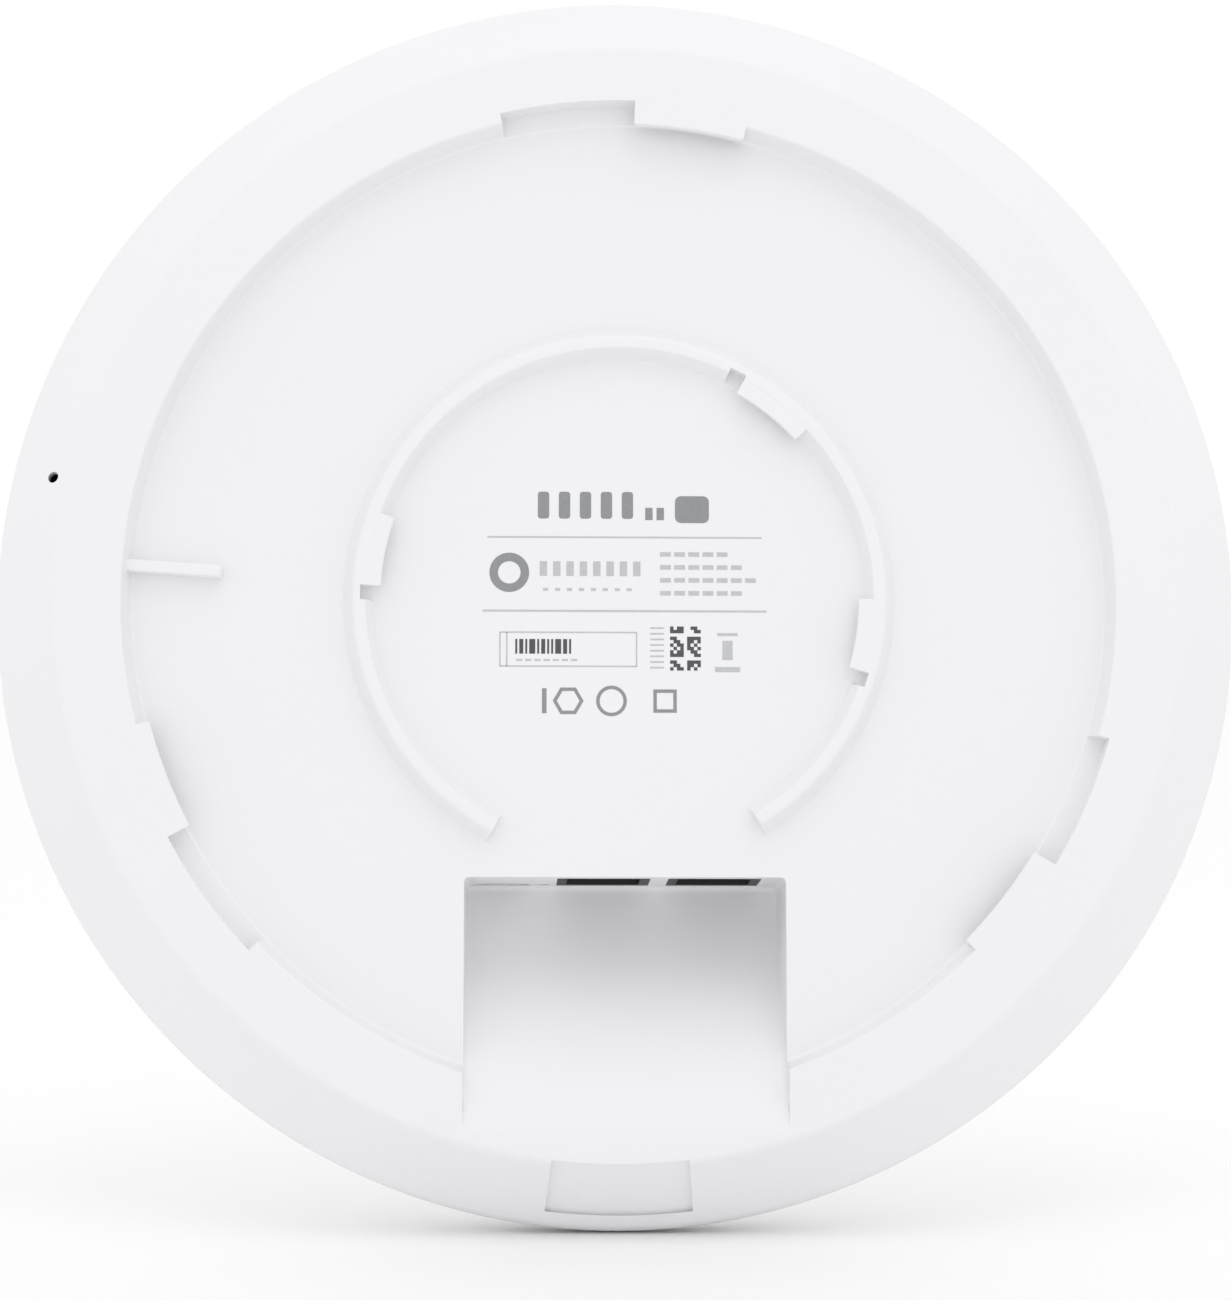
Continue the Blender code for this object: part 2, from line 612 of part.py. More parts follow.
def build_leds(lamp):
    width, height, length = LED_SIZE
    low = (-width / 2, PART_FRONT, -length / 2)
    high = (width / 2, PART_FRONT + height, length / 2)
    mesh = box_mesh("status_led", low, high, lamp)
    for number, degrees in enumerate(LED_ANGLES):
        turn = math.radians(degrees)
        placed("status_led_%d" % (number + 1), mesh, round_the_disc(LED_CIRCLE, turn), turn)


def build_main_board(laminate):
    """A round board with a square bite for the cable bay and a hole at each screw."""
    half = BAY_HALF_WIDTH + HOUSING_WALL + BOARD_BAY_GAP
    left = BAY_CENTRE_X - half
    right = BAY_CENTRE_X + half
    start = -math.pi - math.asin(left / BOARD_RADIUS)
    end = math.pi - math.asin(right / BOARD_RADIUS)
    steps = ROUND_STEPS * 5 // 6
    outline = []
    for step in range(steps + 1):
        angle = start + (end - start) * step / steps
        outline.append(round_the_disc(BOARD_RADIUS, angle, BOARD_REAR))
    bite = -BAY_TOP + HOUSING_WALL + BOARD_BAY_GAP
    outline.append((right, BOARD_REAR, bite))
    outline.append((left, BOARD_REAR, bite))
    board = placed("main_board", prism_mesh("main_board", outline, (0.0, BOARD_THICKNESS, 0.0), laminate))
    for degrees in BOSS_ANGLES:
        name = "board_hole_%d" % degrees
        hole = rod_mesh(name, SCREW_HOLE_RADIUS, BOARD_REAR - OVERCUT, BOARD_FRONT + OVERCUT, sides=12)
        cut(board, name, hole, round_the_disc(BOSS_CIRCLE, math.radians(degrees)))


def build_screws(steel):
    """Pan-head screws from the board's front, through the spreader, into the housing's bosses."""
    face = PART_FRONT
    top = face + SCREW_HEAD_HEIGHT
    point = face - SCREW_LENGTH
    profile = [
        (0.0, point), (SCREW_POINT[0], point), (SCREW_RADIUS, point + SCREW_POINT[1]),
        (SCREW_RADIUS, face), (SCREW_HEAD_RADIUS, face),
        (SCREW_HEAD_RADIUS, face + SCREW_HEAD_EDGE), (SCREW_HEAD_TOP_RADIUS, top), (0.0, top),
    ]
    long, narrow, deep = SCREW_SLOT
    mesh = turned_mesh("board_screw", profile, steel, 12)
    for number, degrees in enumerate(BOSS_ANGLES):
        spot = round_the_disc(BOSS_CIRCLE, math.radians(degrees))
        name = "board_screw_%d" % (number + 1)
        screw = placed(name, mesh, spot)
        for arm, (wide, high) in (("across", (long, narrow)), ("upright", (narrow, long))):
            low = (-wide / 2, top - deep, -high / 2)
            slot = box_mesh("slot_" + arm, low, (wide / 2, top + OVERCUT, high / 2))
            cut(screw, "%s_slot_%s" % (name, arm), slot, spot)


def build_heat_spreader(aluminium):
    """A cast plate with fins towards the housing, and pads and standoffs towards the board."""
    half = math.sqrt(SPREADER_RADIUS**2 - SPREADER_LOWER_EDGE**2)
    end = math.atan2(half, SPREADER_LOWER_EDGE)
    steps = ROUND_STEPS // 2
    outline = []
    for step in range(steps + 1):
        angle = -end + 2 * end * step / steps
        outline.append(round_the_disc(SPREADER_RADIUS, angle, SPREADER_REAR))
    plate_mesh = prism_mesh("heat_spreader", outline, (0.0, SPREADER_THICKNESS, 0.0), aluminium)
    spreader = placed("heat_spreader", plate_mesh)
    face = SPREADER_REAR + SPREADER_THICKNESS
    for row in FIN_ROWS:
        height = row * MM
        length = min(FIN_HALF_LENGTH, math.sqrt((SPREADER_RADIUS - FIN_EDGE) ** 2 - height**2))
        low = (-length, SPREADER_REAR - FIN_HEIGHT, height - FIN_THICKNESS / 2)
        high = (length, SPREADER_REAR + EMBED, height + FIN_THICKNESS / 2)
        join(spreader, "fin_%d" % row, box_mesh("fin_%d" % row, low, high))
    for name, (x, z), (width, length), _ in HOT_CHIPS:
        low = (x - width / 2 - LAND_MARGIN, face - EMBED, z - length / 2 - LAND_MARGIN)
        high = (x + width / 2 + LAND_MARGIN, SPREADER_PAD_TOP, z + length / 2 + LAND_MARGIN)
        join(spreader, name + "_land", box_mesh(name + "_land", low, high))
    for degrees in BOSS_ANGLES:
        if boss_top(degrees) == PART_REAR:
            continue
        spot = round_the_disc(BOSS_CIRCLE, math.radians(degrees))
        name = "standoff_%d" % degrees
        join(spreader, name, rod_mesh(name, BOSS_RADIUS, face - EMBED, PART_REAR), spot)
        low = SPREADER_REAR - OVERCUT
        hole = rod_mesh(name + "_hole", SCREW_HOLE_RADIUS, low, PART_REAR + OVERCUT, sides=12)
        cut(spreader, name + "_hole", hole, spot)


def build_rear_components(black, pad_grey, finishes):
    """Chips, heat pads and power parts on the board's rear face."""
    for name, (x, z), (width, length), thickness in HOT_CHIPS:
        low = (x - width / 2, PART_REAR - thickness, z - length / 2)
        high = (x + width / 2, PART_REAR, z + length / 2)
        placed(name, box_mesh(name, low, high, black))
        pad = name.replace("chip", "heat_pad")
        low = (low[0] + LAND_MARGIN, PAD_REAR, low[2] + LAND_MARGIN)
        high = (high[0] - LAND_MARGIN, PART_REAR - thickness - GAP, high[2] - LAND_MARGIN)
        placed(pad, box_mesh(pad, low, high, pad_grey))
    for name, (x, z), (width, length), height, kind in REAR_PARTS:
        low = ((x - width / 2) * MM, PART_REAR - height * MM, (z - length / 2) * MM)
        high = ((x + width / 2) * MM, PART_REAR, (z + length / 2) * MM)
        placed(name, box_mesh(name, low, high, finishes[kind]))
    top = PART_REAR - CAPACITOR_HEIGHT
    can = rod_mesh("power_capacitor", CAPACITOR_RADIUS, top, PART_REAR, finish=finishes["can"])
    for name, x, z in CAPACITORS:
        placed(name, can, (x * MM, 0.0, z * MM))


def build_radio_shields(tin):
    """Five-sided sheet cans, open towards the board."""
    width, height, length = SHIELD_CAN_SIZE
    wall = SHIELD_CAN_WALL
    for name, x in SHIELD_CANS:
        low = Vector((x - width / 2, PART_FRONT, SHIELD_CAN_Z - length / 2))
        high = Vector((x + width / 2, PART_FRONT + height, SHIELD_CAN_Z + length / 2))
        can = placed(name, box_mesh(name, low, high, tin))
        low += Vector((wall, -OVERCUT, wall))
        high -= Vector((wall, wall, wall))
        cut(can, name + "_inside", box_mesh(name + "_inside", low, high))


def build_antennas(tin):
    """Bent strips that stand on two legs over the board's front face."""
    for kind, circle, length, width, height, angles in ANTENNAS:
        half = length * MM / 2
        foot = PART_FRONT
        top = foot + height * MM
        sheet = ANTENNA_SHEET
        side = -width * MM / 2
        outline = [
            (-half, foot, side), (-half, top, side), (half, top, side), (half, foot, side),
            (half - sheet, foot, side), (half - sheet, top - sheet, side),
            (-half + sheet, top - sheet, side), (-half + sheet, foot, side),
        ]
        mesh = prism_mesh(kind, outline, (0.0, 0.0, width * MM), tin)
        for number, degrees in enumerate(angles):
            turn = math.radians(degrees)
            spot = round_the_disc(circle * MM, turn)
            placed("%s_%d" % (kind, number + 1), mesh, spot, turn)


def plug_outline(z):
    """The mouth of a network jack: a plug with its latch slot on the board side."""
    insert_front = PART_REAR - JACK_HEIGHT + SHIELD_WALL + GAP
    insert_back = PART_REAR - SHIELD_WALL - GAP
    middle = (insert_front + insert_back) / 2
    low = middle - (PLUG_HEIGHT + LATCH_HEIGHT) / 2
    step = low + PLUG_HEIGHT
    high = step + LATCH_HEIGHT
    wide = PLUG_WIDTH / 2
    slim = LATCH_WIDTH / 2
    corners = [
        (-wide, low), (wide, low), (wide, step), (slim, step),
        (slim, high), (-slim, high), (-slim, step), (-wide, step),
    ]
    return [(x, y, z) for x, y in corners]


def build_jacks(tin, black):
    """Each network jack is a plastic insert in a sheet-metal shield."""
    back = JACK_MOUTH + JACK_LENGTH
    skin = Vector((SHIELD_WALL, SHIELD_WALL, 0.0))
    gap = Vector((GAP, GAP, 0.0))
    for name, centre in zip(JACK_NAMES, JACK_X):
        low = Vector((centre - JACK_WIDTH / 2, PART_REAR - JACK_HEIGHT, JACK_MOUTH))
        high = Vector((centre + JACK_WIDTH / 2, PART_REAR, back))
        shield = placed(name + "_shield", box_mesh(name + "_shield", low, high, tin))
        inner_low = low + skin - Vector((0.0, 0.0, OVERCUT))
        inner_high = high - skin - Vector((0.0, 0.0, SHIELD_WALL))
        cut(shield, name + "_inside", box_mesh(name + "_inside", inner_low, inner_high))
        insert_low = low + skin + gap + Vector((0.0, 0.0, INSERT_SETBACK))
        insert_high = inner_high - gap - Vector((0.0, 0.0, GAP))
        insert = placed(name + "_insert", box_mesh(name + "_insert", insert_low, insert_high, black))
        reach = Vector((0.0, 0.0, PLUG_DEPTH + OVERCUT))
        mouth = prism_mesh(name + "_mouth", plug_outline(JACK_MOUTH - OVERCUT), reach)
        cut(insert, name + "_mouth", mouth, (centre, 0.0, 0.0))


def stadium_outline(width, height, z, steps=6):
    """A slot outline with round ends, centred on the USB port's middle."""
    middle = PART_REAR - USB_HEIGHT / 2
    radius = height / 2
    points = []
    for side in (1, -1):
        for step in range(steps + 1):
            angle = math.pi * (step / steps - 0.5)
            x = side * (width / 2 - radius + radius * math.cos(angle))
            points.append((x, middle + side * radius * math.sin(angle), z))
    return points


def build_usb_port(tin, black):
    """A drawn steel shell with a contact tongue on a plastic base."""
    back = JACK_MOUTH + USB_LENGTH
    shell_mesh = prism_mesh(
        "usb_port_shell", stadium_outline(USB_WIDTH, USB_HEIGHT, JACK_MOUTH),
        (0.0, 0.0, USB_LENGTH), tin,
    )
    shell = placed("usb_port_shell", shell_mesh, (USB_X, 0.0, 0.0))
    inner = (USB_WIDTH - 2 * USB_WALL, USB_HEIGHT - 2 * USB_WALL)
    inside = prism_mesh(
        "usb_inside", stadium_outline(*inner, JACK_MOUTH - OVERCUT),
        (0.0, 0.0, USB_LENGTH + 2 * OVERCUT),
    )
    cut(shell, "usb_inside", inside, (USB_X, 0.0, 0.0))
    base = prism_mesh(
        "usb_port_tongue", stadium_outline(inner[0] - 2 * GAP, inner[1] - 2 * GAP, back - USB_BASE_LENGTH),
        (0.0, 0.0, USB_BASE_LENGTH), black,
    )
    tongue = placed("usb_port_tongue", base, (USB_X, 0.0, 0.0))
    middle = PART_REAR - USB_HEIGHT / 2
    low = (-USB_TONGUE[0] / 2, middle - USB_TONGUE[1] / 2, JACK_MOUTH + MM)
    high = (USB_TONGUE[0] / 2, middle + USB_TONGUE[1] / 2, back - EMBED)
    join(tongue, "usb_tongue_plate", box_mesh("usb_tongue_plate", low, high), (USB_X, 0.0, 0.0))


def build_reset_button(white, black):
    """A sprung plunger that slides along Z into the bore of its switch."""
    step = BUTTON_CAP_LENGTH
    mesh = rod_mesh("reset_button", BUTTON_STEM_RADIUS, step - EMBED, BUTTON_LENGTH, "Z", 16, white)
    spot = (BUTTON_X, BUTTON_DEPTH, BUTTON_FRONT)
    button = placed("reset_button", mesh, spot)
    join(button, "button_cap", rod_mesh("button_cap", BUTTON_CAP_RADIUS, 0.0, step, "Z"), spot)
    low = (BUTTON_X - SWITCH_WIDTH / 2, 2 * BUTTON_DEPTH - PART_REAR, SWITCH_FRONT)
    high = (BUTTON_X + SWITCH_WIDTH / 2, PART_REAR, SWITCH_FRONT + SWITCH_LENGTH)
    switch = placed("reset_switch", box_mesh("reset_switch", low, high, black))
    bore_end = BUTTON_FRONT + BUTTON_LENGTH + BUTTON_TRAVEL + GAP
    bore = rod_mesh("switch_bore", BUTTON_STEM_RADIUS + GAP, SWITCH_FRONT - OVERCUT, bore_end, "Z")
    cut(switch, "switch_bore", bore, (BUTTON_X, BUTTON_DEPTH, 0.0))


def main():
    for item in list(bpy.data.objects):
        bpy.data.objects.remove(item)
    white = surface("white_polycarbonate", (0.86, 0.86, 0.86), 0.45)
    translucent = surface("translucent_light_guide", (0.75, 0.80, 0.86), 0.35)
    aluminium = surface("cast_aluminium", (0.62, 0.63, 0.65), 0.5, 1.0)
    laminate = surface("board_laminate", (0.03, 0.16, 0.10), 0.5)
    tin = surface("tinned_steel", (0.72, 0.72, 0.70), 0.3, 1.0)
    steel = surface("zinc_plated_steel", (0.60, 0.60, 0.62), 0.35, 1.0)
    black = surface("black_moulding", (0.03, 0.03, 0.03), 0.5)
    ferrite = surface("ferrite", (0.10, 0.10, 0.11), 0.6)
    pad_grey = surface("heat_pad", (0.45, 0.50, 0.55), 0.8)
    lamp = surface("led_lens", (0.90, 0.88, 0.70), 0.25)
    build_rear_housing(white)
    build_front(white, translucent)
    build_leds(lamp)
    build_main_board(laminate)
    build_screws(steel)
    build_heat_spreader(aluminium)
    build_rear_components(
        black, pad_grey, {"chip": black, "moulding": black, "ferrite": ferrite, "can": tin},
    )
    build_radio_shields(tin)
    build_antennas(tin)
    build_jacks(tin, black)
    build_usb_port(tin, black)
    build_reset_button(white, black)


main()
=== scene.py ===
"""Round ceiling access point: the finished pieces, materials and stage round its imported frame."""

import math
from contextlib import contextmanager

import bmesh
import bpy
from bpy.props import FloatProperty, FloatVectorProperty, IntProperty, PointerProperty
from bpy.types import Operator, Panel, PropertyGroup
from mathutils import Matrix, Vector


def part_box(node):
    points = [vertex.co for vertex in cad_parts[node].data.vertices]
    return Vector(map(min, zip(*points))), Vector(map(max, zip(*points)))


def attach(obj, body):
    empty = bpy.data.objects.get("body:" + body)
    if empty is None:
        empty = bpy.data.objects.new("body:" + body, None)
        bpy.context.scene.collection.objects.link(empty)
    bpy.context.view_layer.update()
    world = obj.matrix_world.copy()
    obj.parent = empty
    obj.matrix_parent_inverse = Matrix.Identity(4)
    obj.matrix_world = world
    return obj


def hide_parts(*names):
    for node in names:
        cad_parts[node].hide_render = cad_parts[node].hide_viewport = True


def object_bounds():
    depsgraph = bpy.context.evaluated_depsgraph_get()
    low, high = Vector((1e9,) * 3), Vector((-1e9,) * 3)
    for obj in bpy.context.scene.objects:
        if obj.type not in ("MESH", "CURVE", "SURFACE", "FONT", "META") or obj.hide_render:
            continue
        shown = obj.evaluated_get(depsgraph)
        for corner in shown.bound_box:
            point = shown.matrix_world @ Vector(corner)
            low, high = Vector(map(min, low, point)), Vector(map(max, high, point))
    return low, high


bl_info = {
    "name": "Ceiling access point",
    "version": (1, 0, 0),
    "blender": (4, 5, 0),
    "location": "View3D > Sidebar > Access Point",
    "description": "Builds the finished pieces of a round ceiling access point",
    "category": "Object",
}

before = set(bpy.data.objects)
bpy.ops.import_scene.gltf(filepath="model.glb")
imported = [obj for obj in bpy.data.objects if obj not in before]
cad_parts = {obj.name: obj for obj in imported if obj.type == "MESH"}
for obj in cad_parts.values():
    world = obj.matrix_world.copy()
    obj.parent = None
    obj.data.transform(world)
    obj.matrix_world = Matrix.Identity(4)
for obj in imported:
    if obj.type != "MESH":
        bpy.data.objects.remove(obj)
CAD_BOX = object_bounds()

MM = 0.001
TAU = 2 * math.pi
GAP = 0.3 * MM
OVERCUT = 3.0 * MM
EMBED = 0.5 * MM
SKIN = 2 * EMBED
INK_FILM = 0.03 * MM
PAD_FILM = 0.03 * MM
GROOVE_RADIUS = 33.0 * MM
FLANGE_RADIUS = 27.0 * MM
FLANGE_THICKNESS = 1.1 * MM
PILOT_DEPTH = 4.0 * MM
SPREADER_REAR = 9.5 * MM
GASKET_GAP = 0.05 * MM
GASKET_BORDER = 1.4 * MM
CONTACT_WIDTH = 0.35 * MM
CONTACT_THICKNESS = 0.25 * MM
CONTACT_PITCH = 1.02 * MM
CONTACT_BENDS = ((0.5, 0.4), (2.6, 5.2), (0.2, 1.2))
CONTACTS_PER_JACK = 8
USB_PADS = 12
USB_PAD_PITCH = 0.5 * MM
USB_PAD_HALF_WIDTH = 0.13 * MM
USB_PLATE = 0.35 * MM
FLOOR_DROP = 0.05 * MM
SOFTBOX_PLACE = (0.15, -0.8, 1.3)
SOFTBOX_WIDTH = 0.9
BODY = "housing"
JACKS = ("lan_jack_main", "lan_jack_second")
DISC_LOW, DISC_HIGH = CAD_BOX
COVER_LOW, COVER_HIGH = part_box("front_cover")
RING_LOW, RING_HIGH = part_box("light_ring")
CAP_LOW, CAP_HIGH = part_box("centre_cap")
BUTTON_LOW, BUTTON_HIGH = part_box("reset_button")


# ---------------------------------------------------------------- sizes and colours


def linear(colour):
    """An sRGB hex colour as the linear red, green, blue and alpha that a socket takes."""
    channels = [int(colour[start:start + 2], 16) / 255 for start in (0, 2, 4)]
    channels = [((c + 0.055) / 1.055) ** 2.4 if c > 0.04045 else c / 12.92 for c in channels]
    return (*channels, 1.0)


def length(name, millimetres, description):
    """A size in the scene's length units, given in millimetres."""
    return FloatProperty(
        name=name, description=description, default=millimetres * MM, unit="LENGTH", precision=5,
    )


def turn(name, degrees, description):
    """An angle round the disc, clockwise from the top as seen from the mounting side."""
    return FloatProperty(
        name=name, description=description, default=math.radians(degrees), unit="ROTATION",
    )


def tint(name, colour, description):
    """A colour, given as an sRGB hex value."""
    return FloatVectorProperty(
        name=name, description=description, default=linear(colour), size=4, min=0.0, max=1.0,
        subtype="COLOR",
    )


class ShellSizes(PropertyGroup):
    """The turned form of the housing and the cover."""

    disc_radius: length("Disc radius", DISC_HIGH.x / MM, "Widest radius of the disc")
    recess_depth: length("Recess depth", -DISC_LOW.y / MM, "Back rim down to the recess floor")
    crown: length("Crown", DISC_HIGH.y / MM, "Recess floor to the top of the domed front")
    seam: length("Seam", COVER_LOW.y / MM - 0.3, "Depth at which the housing meets the cover")
    wall: length("Housing wall", 2.2, "Wall of the rear housing")
    cover_wall: length("Cover wall", 2.5, "Wall of the domed cover")
    rim_radius: length("Rim radius", 98.6, "Where the flat rim turns into the sloping band")
    band_depth: length("Band depth", 6.5, "Depth at which the sloping band meets the side")
    floor_radius: length("Recess floor radius", 85.7, "Radius of the flat recess floor")
    edge_radius: length("Recess edge radius", 87.0, "Radius of the recess at the rim")
    tongue_radius: length("Tongue radius", 105.6, "Outer radius of the tongue inside the cover")
    tongue_wall: length("Tongue wall", 1.4, "Wall of the tongue")
    tongue_height: length("Tongue height", 3.0, "Height of the tongue past the seam")
    steps: IntProperty(name="Steps", description="Facets round the disc", default=240, min=72)


class BayonetSizes(PropertyGroup):
    """The three notches and lugs that lock onto the mounting bracket."""

    sets: IntProperty(name="Sets", description="Notches and lugs round the recess", default=3)
    channel_radius: length("Channel radius", 88.9, "Outer radius of the notches")
    lug_radius: length("Lug radius", 84.6, "Inner radius of the lugs")
    lug_thickness: length("Lug thickness", 1.8, "Thickness of each lug")
    channel_floor: length("Channel floor", 0.2, "Floor of the notch above the recess floor")
    notch_start: turn("Notch start", -13.9, "Angle at which the first notch starts")
    notch_end: turn("Notch end", 1.7, "Angle at which the notch ends and the lug starts")
    lug_end: turn("Lug end", 14.9, "Angle at which the lug ends")


class RingSizes(PropertyGroup):
    """The raised open ring round the centre."""

    inner_foot: length("Inner foot", 42.9, "Inner radius at the floor")
    inner_crest: length("Inner crest", 44.6, "Inner radius at the crest")
    outer_crest: length("Outer crest", 46.7, "Outer radius at the crest")
    outer_foot: length("Outer foot", 48.8, "Outer radius at the floor")
    height: length("Height", 3.4, "Height of the ring over the floor")
    start: turn("Start", 208.6, "Angle at which the ring starts")
    sweep: turn("Sweep", 299.6, "Angle that the ring covers")
    catch_radius: length("Catch radius", 41.9, "How far in the catches reach")
    catch_step: length("Catch step", 0.1, "How far the catches lie below the crest")
    catch_thickness: length("Catch thickness", 1.2, "Thickness of each catch")
    pocket_radius: length("Pocket radius", 45.5, "How far out the pockets beside them reach")


class BaySizes(PropertyGroup):
    """The cable bay, its ramp and the port openings in its upper wall."""

    centre: length("Centre", 1.0, "Middle of the bay, to the right of the disc's axis")
    half_width: length("Half width", 28.2, "Half the width at the mouth")
    top: length("Top", 48.4, "Distance of the upper wall below the axis")
    floor: length("Floor", 18.0, "Depth of the bay floor")
    ramp_start: length("Ramp start", 50.5, "Distance below the axis at which the floor starts to rise")
    ramp_end: length("Ramp end", 97.0, "Distance below the axis at which it reaches the rim")
    ramp_over: length("Ramp overshoot", 0.6, "How far past the rim the curve of the ramp runs")
    fill_top: length("Fill top", 79.0, "Where the solid foot of the ramp starts")
    fill_end: length("Fill end", 89.0, "Where the solid foot of the ramp ends, inside the rim")
    side_draft: turn("Side draft", 1.15, "Draft of the side walls")
    top_draft: turn("Top draft", 2.0, "Draft of the upper wall")
    corner: length("Corner", 0.9, "Radius of the corners at the bottom of the walls")
    port_clearance: length("Port clearance", 0.4, "Gap round each port")
    pinhole_radius: length("Pinhole radius", 1.1, "Radius of the hole over the reset button")


class DetailSizes(PropertyGroup):
    """The lock rib, the release hole, the cable exit and the screw bosses."""

    rib_angle: turn("Rib angle", 273.7, "Angle of the lock rib")
    rib_start: length("Rib start", 69.8, "Radius at which the rib starts")
    rib_width: length("Rib width", 2.2, "Width of the rib")
    rib_height: length("Rib height", 3.0, "Height of the rib")
    release_angle: turn("Release angle", 282.0, "Angle of the release hole")
    release_radius: length("Release radius", 101.6, "Distance of the release hole from the axis")
    release_hole: length("Release hole", 1.0, "Radius of the release hole")
    exit_half_angle: turn("Exit half angle", 6.9, "Half the angle of the cable exit")
    exit_inner: length("Exit inner radius", 98.2, "Where the cable exit starts")
    exit_outer: length("Exit outer radius", 107.2, "Where the cable exit ends")
    exit_depth: length("Exit depth", 0.8, "How deep the exit is cut into the band")
    boss_circle: length("Boss circle", 70.0, "Radius on which the screw bosses stand")
    boss_radius: length("Boss radius", 3.3, "Radius of each boss")
    pilot_radius: length("Pilot radius", 1.55, "Radius of each screw hole")


class Finishes(PropertyGroup):
    """Colours of the visible finishes."""

    housing: tint("Housing", "EEEEF0", "White polycarbonate of the housing")
    cover: tint("Cover", "F0F0F0", "White polycarbonate of the cover")
    light_guide: tint("Light guide", "E4EAF0", "Diffusing light guide")
    ink: tint("Ink", "8F9092", "Grey pad-printing ink")
    pale_ink: tint("Pale ink", "BFC0C2", "Thin grey ink of the fine lines")
    dark_ink: tint("Dark ink", "4E4F52", "Ink of the bar and cell marks")
    floor: tint("Floor", "FAFAFA", "Paper that the disc stands on")


class StageSizes(PropertyGroup):
    """Camera, floor and lights."""

    distance: length("Camera distance", 640.0, "From the recess floor to the camera")
    below: length("Camera drop", 85.2, "How far the camera is below the disc's axis")
    aside: length("Camera offset", -20.0, "Camera to the right of the axis")
    aim_x: length("Aim across", -0.7, "Point aimed at, to the right of the axis")
    aim_z: length("Aim up", -8.8, "Point aimed at, above the axis")
    lens: FloatProperty(name="Lens", description="Focal length, in millimetres", default=101.65)
    floor_size: length("Floor size", 6000.0, "Side of the floor")
    floor_touch: length("Floor contact", 10.0, "Depth at which the rim touches the floor")
    floor_tilt: turn("Floor tilt", 8.0, "Fall of the floor to the front")
    sky: FloatProperty(name="Sky", description="Brightness of the white surround", default=1.02)
    key: FloatProperty(
        name="Key", description="Power of the overhead softbox", default=1.6, unit="POWER",
    )


# ---------------------------------------------------------------- modelling steps


def only(piece):
    """Makes a piece the active object and the only one selected."""
    bpy.ops.object.select_all(action="DESELECT")
    piece.select_set(True)
    bpy.context.view_layer.objects.active = piece


def primitive(add, name, **settings):
    """Adds a primitive with nothing else selected, and names it."""
    bpy.ops.object.select_all(action="DESELECT")
    add(**settings)
    piece = bpy.context.object
    piece.name = name
    piece.data.name = name
    return piece


@contextmanager
def editing(piece):
    """Edit mode on one piece, starting with nothing selected."""
    only(piece)
    bpy.ops.object.mode_set(mode="EDIT")
    bpy.ops.mesh.select_all(action="DESELECT")
    yield
    bpy.ops.object.mode_set(mode="OBJECT")


def pick(piece, kind, test):
    """Selects the points, edges or faces that pass a test, and says how many did."""
    bpy.ops.mesh.select_mode(type=kind)
    bpy.ops.mesh.select_all(action="DESELECT")
    shape = bmesh.from_edit_mesh(piece.data)
    parts = {"VERT": shape.verts, "EDGE": shape.edges, "FACE": shape.faces}[kind]
    chosen = [part for part in parts if test(part)]
    for part in chosen:
        part.select_set(True)
    bmesh.update_edit_mesh(piece.data)
    return len(chosen)


def drawn(name, outline, filled=True):
    """A circle primitive with its points moved, in order, onto an outline."""
    fill = "NGON" if filled else "NOTHING"
    piece = primitive(
        bpy.ops.mesh.primitive_circle_add, name, vertices=len(outline), fill_type=fill,
    )
    for point, place in zip(piece.data.vertices, outline):
        point.co = place
    return piece


def point_outwards(piece):
    """Merges doubled points and turns every face outwards."""
    with editing(piece):
        bpy.ops.mesh.select_all(action="SELECT")
        bpy.ops.mesh.remove_doubles(threshold=0.001 * MM)
        bpy.ops.mesh.normals_make_consistent(inside=False)


def turned(name, section, steps, start=0.0, sweep=TAU):
    """Spins a section of (radius, depth) points about the disc's axis, whole or in part."""
    aim = Matrix.Rotation(start, 3, "Y")
    outline = [aim @ Vector((0.0, depth, radius)) for radius, depth in section]
    piece = drawn(name, outline, filled=sweep < TAU)
    with editing(piece):
        if pick(piece, "EDGE", lambda edge: max(abs(end.co.z) for end in edge.verts) == 0):
            bpy.ops.mesh.delete(type="EDGE")
        bpy.ops.mesh.select_all(action="SELECT")
        bpy.ops.mesh.spin(steps=steps, angle=-sweep, center=(0, 0, 0), axis=(0, 1, 0))
    point_outwards(piece)
    return piece


def extruded(name, outline, direction):
    """Fills an outline and extrudes it along a direction."""
    piece = drawn(name, outline)
    with editing(piece):
        bpy.ops.mesh.select_all(action="SELECT")
        bpy.ops.mesh.extrude_region_move(TRANSFORM_OT_translate={"value": direction})
    point_outwards(piece)
    return piece


def block(name, low, high):
    """A cube primitive grown to two corners."""
    low = Vector(low)
    high = Vector(high)
    piece = primitive(
        bpy.ops.mesh.primitive_cube_add, name, size=1.0, location=(low + high) / 2,
    )
    with editing(piece):
        bpy.ops.mesh.select_all(action="SELECT")
        bpy.ops.transform.resize(value=high - low)
    settle(piece)
    return piece


def rod(name, radius, low, high, sides=32):
    """A cylinder primitive between two points."""
    low = Vector(low)
    high = Vector(high)
    aim = (high - low).to_track_quat("Z", "Y").to_euler()
    piece = primitive(
        bpy.ops.mesh.primitive_cylinder_add, name, vertices=sides, radius=radius,
        depth=(high - low).length, location=(low + high) / 2, rotation=aim,
    )
    settle(piece)
    return piece


def settle(piece):
    """Puts a piece's place, turn and scale into its mesh."""
    only(piece)
    bpy.ops.object.transform_apply(location=True, rotation=True, scale=True)


def round_edges(piece, width, test, segments=3):
    """Bevels the edges that pass a test."""
    with editing(piece):
        if pick(piece, "EDGE", test):
            bpy.ops.mesh.bevel(offset=width, segments=segments, affect="EDGES")


def is_sharp(edge, degrees=40.0):
    """True where two faces meet at more than an angle."""
    return len(edge.link_faces) == 2 and edge.calc_face_angle() > math.radians(degrees)


